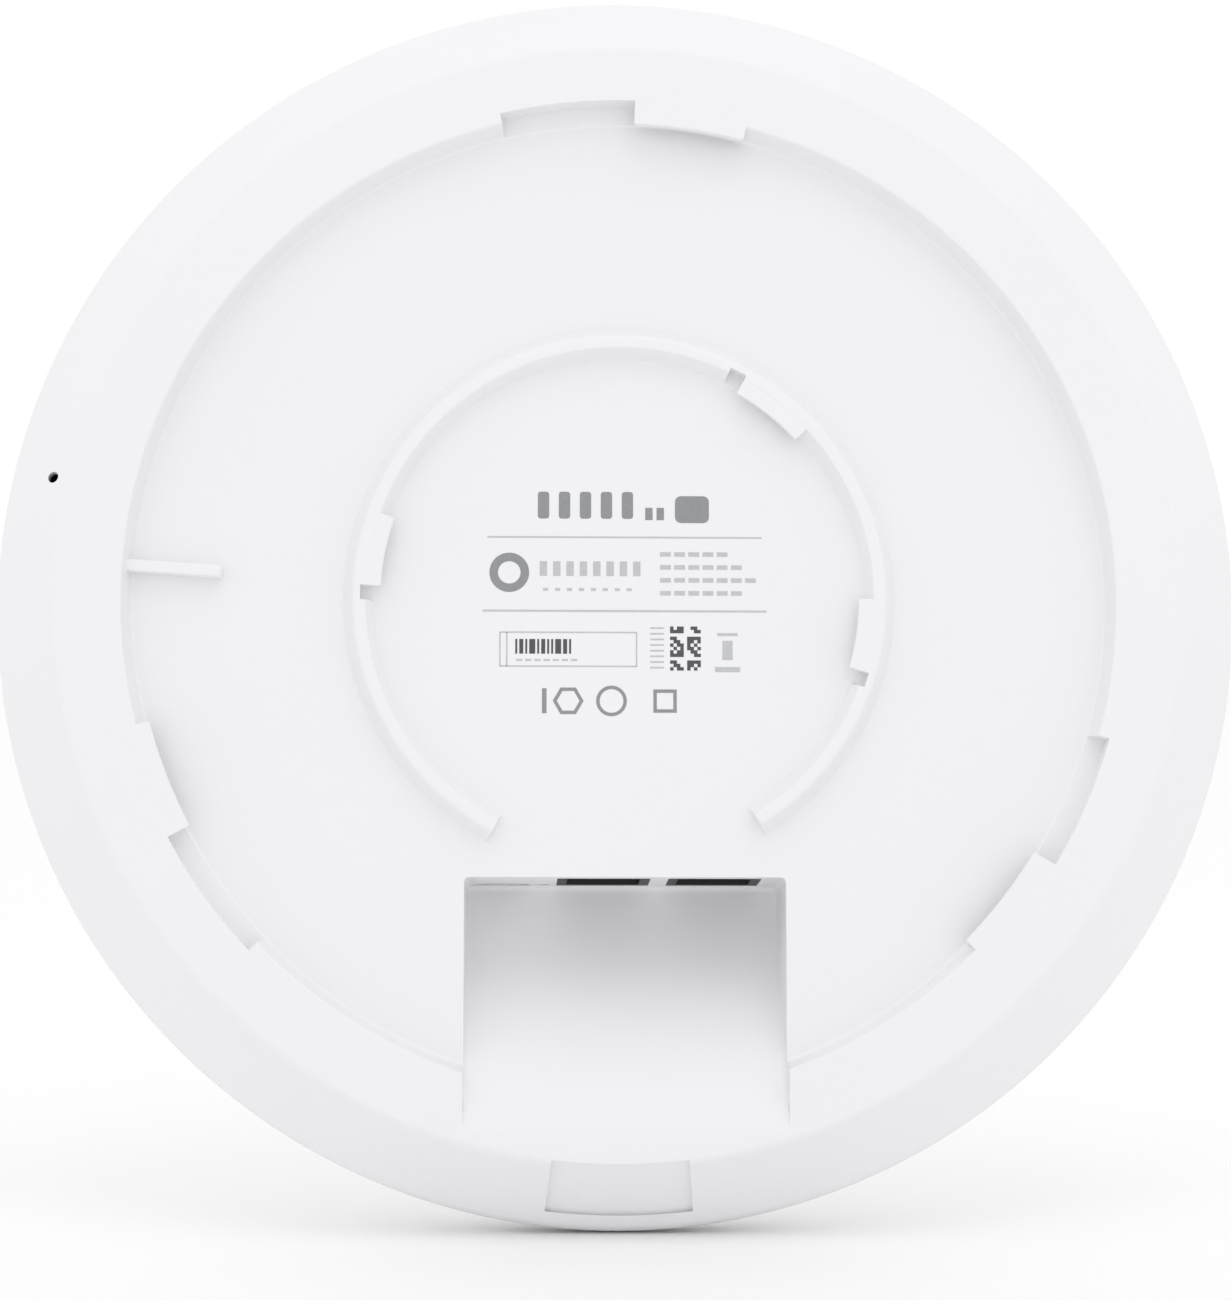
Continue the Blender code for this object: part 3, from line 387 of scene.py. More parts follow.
def apply_modifier(piece, kind, **settings):
    """Adds a modifier with its settings and applies it."""
    step = piece.modifiers.new(kind.lower(), kind)
    for name, value in settings.items():
        setattr(step, name, value)
    only(piece)
    bpy.ops.object.modifier_apply(modifier=step.name)


def carve(piece, tools, operation):
    """Joins a set of tool solids to a piece, or takes them away, and removes the tools."""
    together = bpy.data.collections.new("tools")
    for tool in tools:
        together.objects.link(tool)
    apply_modifier(
        piece, "BOOLEAN", operand_type="COLLECTION", collection=together,
        operation=operation, solver="EXACT",
    )
    for tool in tools:
        bpy.data.objects.remove(tool)
    bpy.data.collections.remove(together)


def copies(piece, places):
    """One copy of the piece, each with its own mesh, moved to each place; the piece itself is removed.
    """
    made = []
    for number, place in enumerate(places):
        copy = piece.copy()
        copy.data = piece.data.copy()
        copy.name = "%s_%d" % (piece.name, number + 1)
        copy.location = place
        bpy.context.scene.collection.objects.link(copy)
        settle(copy)
        made.append(copy)
    bpy.data.objects.remove(piece)
    return made


def joined(name, pieces):
    """Joins pieces into one object."""
    only(pieces[0])
    for piece in pieces:
        piece.select_set(True)
    bpy.ops.object.join()
    piece = bpy.context.object
    piece.name = name
    piece.data.name = name
    return piece


def finished(piece, material, body=BODY, replaces=(), smooth=30.0):
    """Smooths a piece, gives it its material and joins it to its body. An open mesh is refused."""
    only(piece)
    bpy.ops.object.shade_smooth_by_angle(angle=math.radians(smooth))
    apply_modifier(piece, "WEIGHTED_NORMAL", keep_sharp=True)
    shape = bmesh.new()
    shape.from_mesh(piece.data)
    open_edges = sum(1 for edge in shape.edges if len(edge.link_faces) != 2)
    volume = shape.calc_volume(signed=True)
    shape.free()
    if open_edges or volume <= 0:
        raise RuntimeError("%s: %d open edges, volume %g" % (piece.name, open_edges, volume))
    piece.data.materials.clear()
    piece.data.materials.append(material)
    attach(piece, body)
    if replaces:
        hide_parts(*replaces)
    return piece


def round_the_disc(radius, angle, depth=0.0):
    """A point at a radius and a clockwise angle from the top."""
    return Vector((radius * math.sin(angle), depth, radius * math.cos(angle)))


def rounded(corners, steps=6):
    """Rounds the corners of a section given as (radius, depth, fillet)."""
    points = []
    for index, (across, along, fillet) in enumerate(corners):
        here = Vector((across, along))
        if fillet == 0:
            points.append(tuple(here))
            continue
        before = (Vector(corners[index - 1][:2]) - here).normalized()
        after = (Vector(corners[(index + 1) % len(corners)][:2]) - here).normalized()
        half = before.angle(after) / 2
        centre = here + (before + after).normalized() * fillet / math.sin(half)
        first = here + before * fillet / math.tan(half) - centre
        bend = math.copysign(math.pi - 2 * half, before.cross(after))
        for step in range(steps + 1):
            angle = -bend * step / steps
            points.append(tuple(centre + Matrix.Rotation(angle, 2) @ first))
    return points


def sector(name, radii, depths, start, end):
    """A block bounded by two radii, two depths and two angles."""
    steps = max(4, round((end - start) / TAU * bpy.context.scene.shell_sizes.steps))
    section = [
        (radii[0], depths[0]), (radii[1], depths[0]), (radii[1], depths[1]), (radii[0], depths[1]),
    ]
    return turned(name, section, steps, start, end - start)


# ---------------------------------------------------------------- materials


def per_mm(spacing):
    """Scale of a pattern whose features are that many millimetres apart."""
    return 1.0 / (spacing * MM)


def add_node(tree, kind, inputs, **settings):
    """Adds a shader node: its settings, and for each input a value or the output that feeds it."""
    item = tree.nodes.new("ShaderNode" + kind)
    for name, value in settings.items():
        setattr(item, name, value)
    for name, value in inputs.items():
        if isinstance(value, bpy.types.NodeSocket):
            tree.links.new(value, item.inputs[name])
        else:
            item.inputs[name].default_value = value
    return item


def new_material(name, **values):
    """A material, its shader with constant values set, and the Object coordinates."""
    material = bpy.data.materials.new(name)
    material.use_nodes = True
    tree = material.node_tree
    shader = tree.nodes["Principled BSDF"]
    for key, value in values.items():
        shader.inputs[key.replace("_", " ")].default_value = value
    place = add_node(tree, "TexCoord", {}).outputs["Object"]
    return material, tree, shader, place


def shade(colour, factor):
    """A linear colour made lighter or darker by a factor."""
    return (*(min(1.0, channel * factor) for channel in colour[:3]), 1.0)


def moulded_polycarbonate(name, colour, roughness, relief):
    """Injection-moulded polycarbonate, opaque white, from a spark-eroded steel tool: an even
    satin skin with a fine grain, and a very faint change of tone where the melt flowed."""
    material, tree, shader, place = new_material(name, IOR=1.585)
    flow = add_node(tree, "TexNoise", {"Vector": place, "Scale": per_mm(55), "Detail": 2.0})
    tone = add_node(tree, "Mix", {
        0: flow.outputs["Fac"], 6: shade(colour, 0.985), 7: shade(colour, 1.01),
    }, data_type="RGBA")
    tree.links.new(tone.outputs[2], shader.inputs["Base Color"])
    grain = add_node(tree, "TexNoise", {"Vector": place, "Scale": per_mm(0.35), "Detail": 3.0})
    gloss = add_node(tree, "MapRange", {
        "Value": grain.outputs["Fac"], "To Min": roughness - 0.05, "To Max": roughness + 0.05,
    })
    tree.links.new(gloss.outputs["Result"], shader.inputs["Roughness"])
    bump = add_node(tree, "Bump", {
        "Height": grain.outputs["Fac"], "Strength": 0.35, "Distance": relief * MM,
    })
    tree.links.new(bump.outputs["Normal"], shader.inputs["Normal"])
    return material


def diffusing_light_guide(colour):
    """Moulded acrylic filled with a diffuser: milky, slightly blue, glossy and part clear."""
    material, tree, shader, place = new_material(
        "diffusing_acrylic", IOR=1.49, Roughness=0.3, Transmission_Weight=0.35,
    )
    cloud = add_node(tree, "TexNoise", {"Vector": place, "Scale": per_mm(6), "Detail": 3.0})
    milk = add_node(tree, "Mix", {
        0: cloud.outputs["Fac"], 6: shade(colour, 0.96), 7: shade(colour, 1.02),
    }, data_type="RGBA")
    tree.links.new(milk.outputs[2], shader.inputs["Base Color"])
    return material


def moulded_black(name, colour, grain_mm):
    """Moulded black thermoplastic or epoxy: dark, dull, with the tool's fine grain."""
    base = linear(colour)
    material, tree, shader, place = new_material(name, IOR=1.54)
    grain = add_node(tree, "TexNoise", {"Vector": place, "Scale": per_mm(grain_mm), "Detail": 4.0})
    tone = add_node(tree, "Mix", {
        0: grain.outputs["Fac"], 6: shade(base, 0.8), 7: shade(base, 1.3),
    }, data_type="RGBA")
    tree.links.new(tone.outputs[2], shader.inputs["Base Color"])
    gloss = add_node(tree, "MapRange", {
        "Value": grain.outputs["Fac"], "To Min": 0.45, "To Max": 0.65,
    })
    tree.links.new(gloss.outputs["Result"], shader.inputs["Roughness"])
    bump = add_node(tree, "Bump", {
        "Height": grain.outputs["Fac"], "Strength": 0.3, "Distance": 0.02 * MM,
    })
    tree.links.new(bump.outputs["Normal"], shader.inputs["Normal"])
    return material


def metal(name, colour, roughness, grain_mm, stretch=(1.0, 1.0, 1.0), relief=0.01):
    """A metal surface with the marks of how it was made, round or drawn out along one way."""
    base = linear(colour)
    material, tree, shader, place = new_material(name, Metallic=1.0)
    drawn_out = add_node(tree, "Mapping", {"Vector": place, "Scale": stretch})
    grain = add_node(tree, "TexNoise", {
        "Vector": drawn_out.outputs["Vector"], "Scale": per_mm(grain_mm), "Detail": 4.0,
    })
    tone = add_node(tree, "Mix", {
        0: grain.outputs["Fac"], 6: shade(base, 0.9), 7: shade(base, 1.06),
    }, data_type="RGBA")
    tree.links.new(tone.outputs[2], shader.inputs["Base Color"])
    gloss = add_node(tree, "MapRange", {
        "Value": grain.outputs["Fac"], "To Min": roughness - 0.08, "To Max": roughness + 0.1,
    })
    tree.links.new(gloss.outputs["Result"], shader.inputs["Roughness"])
    bump = add_node(tree, "Bump", {
        "Height": grain.outputs["Fac"], "Strength": 0.4, "Distance": relief * MM,
    })
    tree.links.new(bump.outputs["Normal"], shader.inputs["Normal"])
    return material


def resist_coated_laminate():
    """Glass-fibre board under green solder resist: glossy, with paler runs where copper tracks
    lie under it and a fine weave showing through."""
    material, tree, shader, place = new_material("resist_coated_laminate", IOR=1.5, Roughness=0.3)
    laid_flat = add_node(tree, "Mapping", {"Vector": place, "Rotation": (math.pi / 2, 0.0, 0.0)})
    tracks = add_node(tree, "TexBrick", {
        "Vector": laid_flat.outputs["Vector"], "Scale": 1.0, "Color1": linear("0E5A35"),
        "Color2": linear("126B40"), "Mortar": linear("1E8A55"), "Mortar Size": 0.25 * MM,
        "Brick Width": 9.0 * MM, "Row Height": 1.6 * MM,
    })
    holes = add_node(tree, "TexVoronoi", {"Vector": place, "Scale": per_mm(5.0)})
    pad = add_node(tree, "MapRange", {
        "Value": holes.outputs["Distance"], "From Min": 0.06, "From Max": 0.09,
    })
    copper = add_node(tree, "Mix", {
        0: pad.outputs["Result"], 6: linear("C8B06A"), 7: tracks.outputs["Color"],
    }, data_type="RGBA")
    tree.links.new(copper.outputs[2], shader.inputs["Base Color"])
    weave = add_node(tree, "TexNoise", {"Vector": place, "Scale": per_mm(0.5), "Detail": 2.0})
    bump = add_node(tree, "Bump", {
        "Height": weave.outputs["Fac"], "Strength": 0.2, "Distance": 0.01 * MM,
    })
    tree.links.new(bump.outputs["Normal"], shader.inputs["Normal"])
    return material


def speckled(name, colour, fleck, spacing, roughness):
    """A pressed or filled solid, such as sintered ferrite or a filled silicone pad: matt, with
    the grains of its filler showing as fine flecks."""
    material, tree, shader, place = new_material(name, Roughness=roughness, IOR=1.45)
    grains = add_node(tree, "TexVoronoi", {"Vector": place, "Scale": per_mm(spacing)})
    spots = add_node(tree, "MapRange", {
        "Value": grains.outputs["Distance"], "From Min": 0.15, "From Max": 0.5,
    })
    tone = add_node(tree, "Mix", {
        0: spots.outputs["Result"], 6: linear(fleck), 7: linear(colour),
    }, data_type="RGBA")
    tree.links.new(tone.outputs[2], shader.inputs["Base Color"])
    bump = add_node(tree, "Bump", {
        "Height": grains.outputs["Distance"], "Strength": 0.3, "Distance": 0.02 * MM,
    })
    tree.links.new(bump.outputs["Normal"], shader.inputs["Normal"])
    return material


def printing_ink(name, colour):
    """Pad-printed ink: matt and thin, a little uneven where the pad left less of it."""
    material, tree, shader, place = new_material(name, Roughness=0.6, IOR=1.48)
    starved = add_node(tree, "TexNoise", {"Vector": place, "Scale": per_mm(0.9), "Detail": 3.0})
    tone = add_node(tree, "Mix", {
        0: starved.outputs["Fac"], 6: shade(colour, 0.9), 7: shade(colour, 1.15),
    }, data_type="RGBA")
    tree.links.new(tone.outputs[2], shader.inputs["Base Color"])
    return material


def seamless_paper(colour):
    """Matt white studio paper: almost no gloss and a barely visible cloudiness."""
    material, tree, shader, place = new_material("seamless_paper", Roughness=0.5, IOR=1.3)
    cloud = add_node(tree, "TexNoise", {"Vector": place, "Scale": per_mm(300), "Detail": 2.0})
    tone = add_node(tree, "Mix", {
        0: cloud.outputs["Fac"], 6: shade(colour, 0.995), 7: colour,
    }, data_type="RGBA")
    tree.links.new(tone.outputs[2], shader.inputs["Base Color"])
    return material


# ---------------------------------------------------------------- rear housing


CATCH_SPANS = [(29.4, 47.5), (90.0, 106.7), (272.8, 289.5)]
CATCH_POCKETS = [(25.5, 29.4), (106.7, 110.0), (269.5, 272.8)]
BOSS_ANGLES = [30.0, 90.0, 150.0, 210.0, 270.0, 330.0]


def band_depth(radius, offset=0.0):
    """Depth of the sloping band at a radius, moved inwards by an offset square to it."""
    size = bpy.context.scene.shell_sizes
    run = size.disc_radius - size.rim_radius
    rise = size.band_depth + size.recess_depth
    square = offset * math.hypot(run, rise) / run
    return -size.recess_depth + (radius - size.rim_radius) * rise / run + square


def band_radius(depth, offset=0.0):
    """Radius at which the sloping band, moved inwards by an offset, reaches a depth."""
    size = bpy.context.scene.shell_sizes
    run = size.disc_radius - size.rim_radius
    rise = size.band_depth + size.recess_depth
    return size.rim_radius + (depth - band_depth(size.rim_radius, offset)) * run / rise


def housing_section():
    """Half section of the housing, from the centre out over the back and home inside."""
    size = bpy.context.scene.shell_sizes
    inner_rim = -size.recess_depth + size.wall
    tongue_inner = size.tongue_radius - size.tongue_wall
    tongue_end = size.seam + size.tongue_height
    return rounded([
        (0.0, 0.0, 0.0),
        (size.floor_radius - 4.0 * MM, 0.0, 0.0),
        (size.floor_radius, 0.0, 0.8 * MM),
        (size.edge_radius, -size.recess_depth, 0.5 * MM),
        (size.rim_radius, -size.recess_depth, 2.0 * MM),
        (size.disc_radius, size.band_depth, 4.0 * MM),
        (size.disc_radius, size.seam, 0.25 * MM),
        (size.tongue_radius, size.seam, 0.0),
        (size.tongue_radius, tongue_end, 0.3 * MM),
        (tongue_inner, tongue_end, 0.3 * MM),
        (tongue_inner, band_depth(tongue_inner, size.wall), 0.0),
        (band_radius(inner_rim, size.wall), inner_rim, 0.0),
        (size.edge_radius + size.wall, inner_rim, 0.0),
        (size.floor_radius + size.wall, size.wall, 0.0),
        (0.0, size.wall, 0.0),
    ])


def ramp_outline(bay, shell, step_back, thicker, steps=24):
    """The bay floor from its deep end down to the rim, as (height, depth) points."""
    points = []
    low = -shell.recess_depth - bay.ramp_over
    for step in range(steps + 1):
        part = step / steps
        height = -(bay.ramp_start + (bay.ramp_end - bay.ramp_start) * part) - step_back
        swing = (1 + math.cos(math.pi * part)) / 2
        points.append((height, low + (bay.floor - low) * swing + thicker))
    return points


def bay_walls(bay, shell):
    """The outside of the cable bay, trimmed to the inside of the housing."""
    left = bay.centre - bay.half_width - shell.wall
    across = (2 * (bay.half_width + shell.wall), 0.0, 0.0)
    upper = -bay.top + shell.wall
    rear = -shell.recess_depth - OVERCUT
    outline = [(upper, rear), (upper, bay.floor + shell.wall)]
    outline += ramp_outline(bay, shell, 1.0 * MM, shell.wall)
    outline.append((outline[-1][0], rear))
    tub = extruded("bay_walls", [(left, depth, height) for height, depth in outline], across)
    skin = -shell.recess_depth + SKIN
    tongue_inner = shell.tongue_radius - shell.tongue_wall
    inside = turned("inside_of_housing", [
        (0.0, SKIN),
        (shell.floor_radius + SKIN, SKIN),
        (shell.edge_radius + SKIN, skin),
        (band_radius(skin, SKIN), skin),
        (tongue_inner, band_depth(tongue_inner, SKIN)),
        (tongue_inner, 2 * bay.floor),
        (0.0, 2 * bay.floor),
    ], shell.steps)
    carve(tub, [inside], "INTERSECT")
    return tub


def ramp_fill(bay, shell):
    """The foot of the ramp, which stands above the recess floor, before the ramp is cut."""
    inset = bay.half_width - EMBED
    return block(
        "ramp_fill", (bay.centre - inset, -shell.recess_depth - EMBED, -bay.fill_end),
        (bay.centre + inset, EMBED, -bay.fill_top),
    )


def bay_hollow(bay, shell):
    """The inside of the cable bay, with drafted walls and a rounded foot to each wall."""
    rear = -shell.recess_depth - OVERCUT
    slope = math.tan(bay.top_draft)
    outline = [(-bay.top, rear), (-bay.top - slope * (bay.floor - rear), bay.floor)]
    outline += ramp_outline(bay, shell, 0.0, 0.0)
    outline.append((-bay.ramp_end, rear))
    wide = bay.half_width + OVERCUT
    hollow = extruded(
        "bay_hollow", [(bay.centre - wide, depth, height) for height, depth in outline],
        (2 * wide, 0.0, 0.0),
    )
    for side in (-1, 1):
        with editing(hollow):
            bpy.ops.mesh.select_all(action="SELECT")
            bpy.ops.mesh.bisect(
                plane_co=(bay.centre + side * bay.half_width, -shell.recess_depth, 0.0),
                plane_no=(side * math.cos(bay.side_draft), math.sin(bay.side_draft), 0.0),
                clear_outer=True, use_fill=True,
            )
    point_outwards(hollow)
    inside = -shell.recess_depth + 1.0 * MM

    def at_wall_foot(edge):
        deep = max(end.co.y for end in edge.verts) > inside
        return deep and is_sharp(edge, 60.0)

    round_edges(hollow, bay.corner, at_wall_foot, 4)
    return hollow


def bayonet_tools(bayonet, shell):
    """Solids to add and to take away for the notches, channels and lugs."""
    added = []
    taken = []
    back = -shell.recess_depth
    lug_floor = back + bayonet.lug_thickness
    spare = math.radians(2.0)
    for number in range(bayonet.sets):
        turned_by = TAU * number / bayonet.sets
        start = bayonet.notch_start + turned_by
        middle = bayonet.notch_end + turned_by
        end = bayonet.lug_end + turned_by
        added.append(sector(
            "channel_backing", (shell.edge_radius + EMBED, bayonet.channel_radius + shell.wall),
            (back + EMBED, shell.wall - EMBED), start - spare, end + spare,
        ))
        lug = sector(
            "bayonet_lug", (bayonet.lug_radius, shell.edge_radius + EMBED), (back, lug_floor),
            middle, end,
        )
        free = shell.edge_radius - 0.2 * MM
        round_edges(
            lug, 0.3 * MM,
            lambda edge: is_sharp(edge) and all(end.co.xz.length < free for end in edge.verts),
        )
        added.append(lug)
        inner = bayonet.lug_radius - OVERCUT
        taken.append(sector(
            "lug_channel", (inner, bayonet.channel_radius), (lug_floor, -bayonet.channel_floor),
            start, end,
        ))
        taken.append(sector(
            "lug_notch", (inner, bayonet.channel_radius),
            (back - OVERCUT, -bayonet.channel_floor), start, middle,
        ))
    return added, taken


def ring_tools(ring, bayonet, shell):
    """Solids to add and to take away for the raised ring, its catches and their pockets."""
    crest = -ring.height
    section = rounded([
        (ring.inner_foot, EMBED, 0.0),
        (ring.inner_crest, crest, 0.5 * MM),
        (ring.outer_crest, crest, 0.9 * MM),
        (ring.outer_foot, EMBED, 0.0),
    ], 4)
    steps = round(shell.steps * ring.sweep / TAU)
    band = turned("centre_ring", section, steps, ring.start, ring.sweep)
    added = [band]
    taken = []
    for start, end in CATCH_SPANS:
        catch = sector(
            "ring_catch", (ring.catch_radius, ring.inner_crest + SKIN),
            (crest + ring.catch_step, crest + ring.catch_thickness),
            math.radians(start), math.radians(end),
        )
        free = ring.inner_crest - 0.5 * MM
        round_edges(
            catch, 0.25 * MM,
            lambda edge: is_sharp(edge) and all(end.co.xz.length < free for end in edge.verts),
        )
        added.append(catch)
    for start, end in CATCH_POCKETS:
        taken.append(sector(
            "catch_pocket", (ring.catch_radius, ring.pocket_radius),
            (crest - OVERCUT, -bayonet.channel_floor), math.radians(start), math.radians(end),
        ))
    return added, taken


def rib_and_bosses(detail, shell):
    """The lock rib, and the screw bosses inside the housing with their holes."""
    rib = block(
        "lock_rib", (-detail.rib_width / 2, -detail.rib_height, detail.rib_start),
        (detail.rib_width / 2, EMBED, shell.edge_radius + EMBED),
    )
    round_edges(
        rib, 0.4 * MM,
        lambda edge: is_sharp(edge) and max(end.co.y for end in edge.verts) < 0.6 * EMBED,
    )
    rib.rotation_euler = (0.0, detail.rib_angle, 0.0)
    settle(rib)
    added = [rib]
    taken = []
    for number, degrees in enumerate(BOSS_ANGLES):
        spot = round_the_disc(detail.boss_circle, math.radians(degrees))
        screw_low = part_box("board_screw_%d" % (number + 1))[0]
        spreader_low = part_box("heat_spreader")[0].z
        beside_bay = spot.z < spreader_low
        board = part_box("main_board")[0].y
        top = board - GAP if beside_bay else SPREADER_REAR - GAP
        low = spot + Vector((0.0, shell.wall - EMBED, 0.0))
        added.append(rod("boss", detail.boss_radius, low, spot + Vector((0.0, top, 0.0))))
        low = spot + Vector((0.0, min(PILOT_DEPTH, screw_low.y - GAP), 0.0))
        high = spot + Vector((0.0, top + OVERCUT, 0.0))
        taken.append(rod("boss_hole", detail.pilot_radius, low, high, 16))
    return added, taken


def band_cuts(detail):
    """The cable exit scooped from the sloping band, and the release hole through it."""
    section = [
        (detail.exit_inner, band_depth(detail.exit_inner, -OVERCUT)),
        (detail.exit_outer, band_depth(detail.exit_outer, -OVERCUT)),
        (detail.exit_outer, band_depth(detail.exit_outer, detail.exit_depth)),
        (detail.exit_inner, band_depth(detail.exit_inner, detail.exit_depth)),
    ]
    start = math.pi - detail.exit_half_angle
    scoop = turned("cable_exit", section, 10, start, 2 * detail.exit_half_angle)
    spot = round_the_disc(detail.release_radius, detail.release_angle)
    reach = Vector((0.0, 3 * OVERCUT, 0.0))
    return [scoop, rod("release_hole", detail.release_hole, spot - reach, spot + reach)]


def port_cuts(bay):
    """Openings in the bay's upper wall for the ports and for a pin to press the button."""
    taken = []
    below = -bay.top - OVERCUT
    above = -bay.top + bpy.context.scene.shell_sizes.wall + OVERCUT / 2
    clearance = Vector((bay.port_clearance, bay.port_clearance, 0.0))
    for node in (JACKS[0] + "_shield", JACKS[1] + "_shield", "usb_port_shell"):
        low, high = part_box(node)
        low = Vector((low.x, low.y, below)) - clearance
        high = Vector((high.x, high.y, above)) + clearance
        cutter = block(node + "_opening", low, high)
        corner = 0.5 * MM if node != "usb_port_shell" else (high.y - low.y) / 2.2
        round_edges(
            cutter, corner,
            lambda edge: abs(edge.verts[0].co.z - edge.verts[1].co.z) > MM, 6,
        )
        taken.append(cutter)
    middle = (BUTTON_LOW + BUTTON_HIGH) / 2
    taken.append(rod(
        "pinhole", bay.pinhole_radius, (middle.x, middle.y, below), (middle.x, middle.y, above),
    ))
    return taken


class ACCESSPOINT_OT_rear_housing(Operator):
    """Builds the rear housing: recess, bayonet, centre ring, cable bay and port openings"""

    bl_idname = "accesspoint.rear_housing"
    bl_label = "Rear housing"

    def execute(self, context):
        scene = context.scene
        shell = scene.shell_sizes
        bay = scene.bay_sizes
        housing = turned("rear_housing_shell", housing_section(), shell.steps)
        lugs, notches = bayonet_tools(scene.bayonet_sizes, shell)
        ring, pockets = ring_tools(scene.ring_sizes, scene.bayonet_sizes, shell)
        bosses, holes = rib_and_bosses(scene.detail_sizes, shell)
        carve(housing, [bay_walls(bay, shell), ramp_fill(bay, shell)] + lugs + ring + bosses, "UNION")
        cuts = [bay_hollow(bay, shell)] + notches + pockets + holes
        carve(housing, cuts + band_cuts(scene.detail_sizes) + port_cuts(bay), "DIFFERENCE")
        white = moulded_polycarbonate("satin_white_polycarbonate", scene.finishes.housing, 0.5, 0.03)
        finished(housing, white, replaces=["rear_housing"])
        return {"FINISHED"}


# ---------------------------------------------------------------- printing


def printed(name, marks, material):
    """Joins a set of marks, all lying on the recess floor, into one film of ink."""
    finished(joined(name, marks), material)


def bar(across, up, width, height, corner=0.0):
    """A plain bar of ink, placed by its middle."""
    mark = block(
        "bar",
        ((across - width / 2) * MM, -INK_FILM, (up - height / 2) * MM),
        ((across + width / 2) * MM, INK_FILM, (up + height / 2) * MM),
    )
    if corner:
        round_edges(
            mark, corner * MM,
            lambda edge: abs(edge.verts[0].co.y - edge.verts[1].co.y) > INK_FILM,
        )
    return mark


def hollow_mark(across, up, radius, line, corners):
    """A plain outlined shape: a ring, or a polygon standing on a side."""
    mark = primitive(
        bpy.ops.mesh.primitive_circle_add, "outline", vertices=corners, radius=radius * MM,
        fill_type="NGON", location=(across * MM, INK_FILM, up * MM),
        rotation=(math.pi / 2, math.pi / corners, 0.0),
    )
    settle(mark)
    with editing(mark):
        bpy.ops.mesh.select_mode(type="FACE")
        bpy.ops.mesh.select_all(action="SELECT")
        bpy.ops.mesh.inset(thickness=line * MM)
        bpy.ops.mesh.delete(type="FACE")
        bpy.ops.mesh.select_all(action="SELECT")
        bpy.ops.mesh.extrude_region_move(
            TRANSFORM_OT_translate={"value": (0.0, -2 * INK_FILM, 0.0)},
        )
    point_outwards(mark)
    return mark


class ACCESSPOINT_OT_printing(Operator):
    """Prints plain marks in the places of a rating print: blocks, dashes, bars and rings"""

    bl_idname = "accesspoint.printing"
    bl_label = "Printed marks"

    def execute(self, context):
        finishes = context.scene.finishes
        grey = [bar(-13.4 + 3.7 * step, 16.9, 2.0, 4.8, 0.5) for step in range(5)]
        grey += [bar(5.2 + 2.0 * step, 15.4, 1.3, 2.2) for step in range(2)]
        grey.append(bar(12.8, 16.2, 6.0, 4.8, 1.0))
        grey.append(hollow_mark(-19.4, 4.9, 3.5, 1.5, 32))
        grey.append(bar(-13.2, -17.8, 0.8, 4.4))
        grey += [hollow_mark(-9.0, -17.8, 2.7, 0.6, 6), hollow_mark(-1.4, -17.8, 2.7, 0.6, 32)]
        grey.append(hollow_mark(8.0, -17.8, 2.9, 0.6, 4))
        printed("printed_grey_marks", grey, printing_ink("grey_ink", finishes.ink))
        pale = [bar(0.9, 11.2, 48.4, 0.3), bar(0.9, -1.9, 50.0, 0.35)]
        pale += [bar(-13.4 + 2.35 * step, 5.6, 1.3, 2.6) for step in range(8)]
        pale += [bar(-13.0 + 2.1 * step, 1.9, 0.9, 0.5) for step in range(8)]
        for row, dashes in enumerate((5, 6, 7, 6)):
            pale += [bar(8.1 + 2.5 * step, 8.2 - 2.3 * row, 1.9, 0.8) for step in range(dashes)]
        pale += [bar(-9.0, -5.7, 24.0, 0.25), bar(-9.0, -11.7, 24.0, 0.25)]
        pale += [bar(x, -8.7, 0.25, 6.0) for x in (-21.0, -19.8, 3.0)]
        pale += [bar(-17.6 + 1.6 * step, -10.6, 1.1, 0.35) for step in range(7)]
        pale += [bar(6.6, -4.9 - 1.0 * step, 2.4, 0.3) for step in range(8)]
        pale += [bar(19.0, -6.0, 3.6, 0.5), bar(19.0, -8.8, 1.8, 3.4), bar(19.0, -12.2, 4.4, 0.9)]
        printed("printed_pale_marks", pale, printing_ink("pale_grey_ink", finishes.pale_ink))
        widths = (0.35, 0.7, 0.35, 1.05, 0.35, 0.7, 0.35, 0.35, 1.05, 0.7, 0.35)
        edge = -18.3
        dark = []
        for wide in widths:
            dark.append(bar(edge + wide / 2, -8.2, wide, 2.6))
            edge += wide + 0.35
        for row in range(13):
            for column in range(9):
                if (3 * row + 5 * column + row * column) % 7 < 4:
                    dark.append(bar(9.2 + 0.6 * column, -4.9 - 0.6 * row, 0.6, 0.6))
        printed("printed_dark_marks", dark, printing_ink("dark_grey_ink", finishes.dark_ink))
        return {"FINISHED"}


# ---------------------------------------------------------------- domed front


def dome_points(shell, outer, inner, inset, steps):
    """Points on the dome, or its inner face, closer together where it turns down to the rim."""
    rim = COVER_LOW.y
    height = shell.crown - rim - inset
    full = shell.disc_radius - inset
    first = math.acos(outer / full)
    last = math.acos(inner / full)
    points = []
    for step in range(steps + 1):
        angle = first + (last - first) * step / steps
        points.append((full * math.cos(angle), rim + height * math.sin(angle)))
    return points


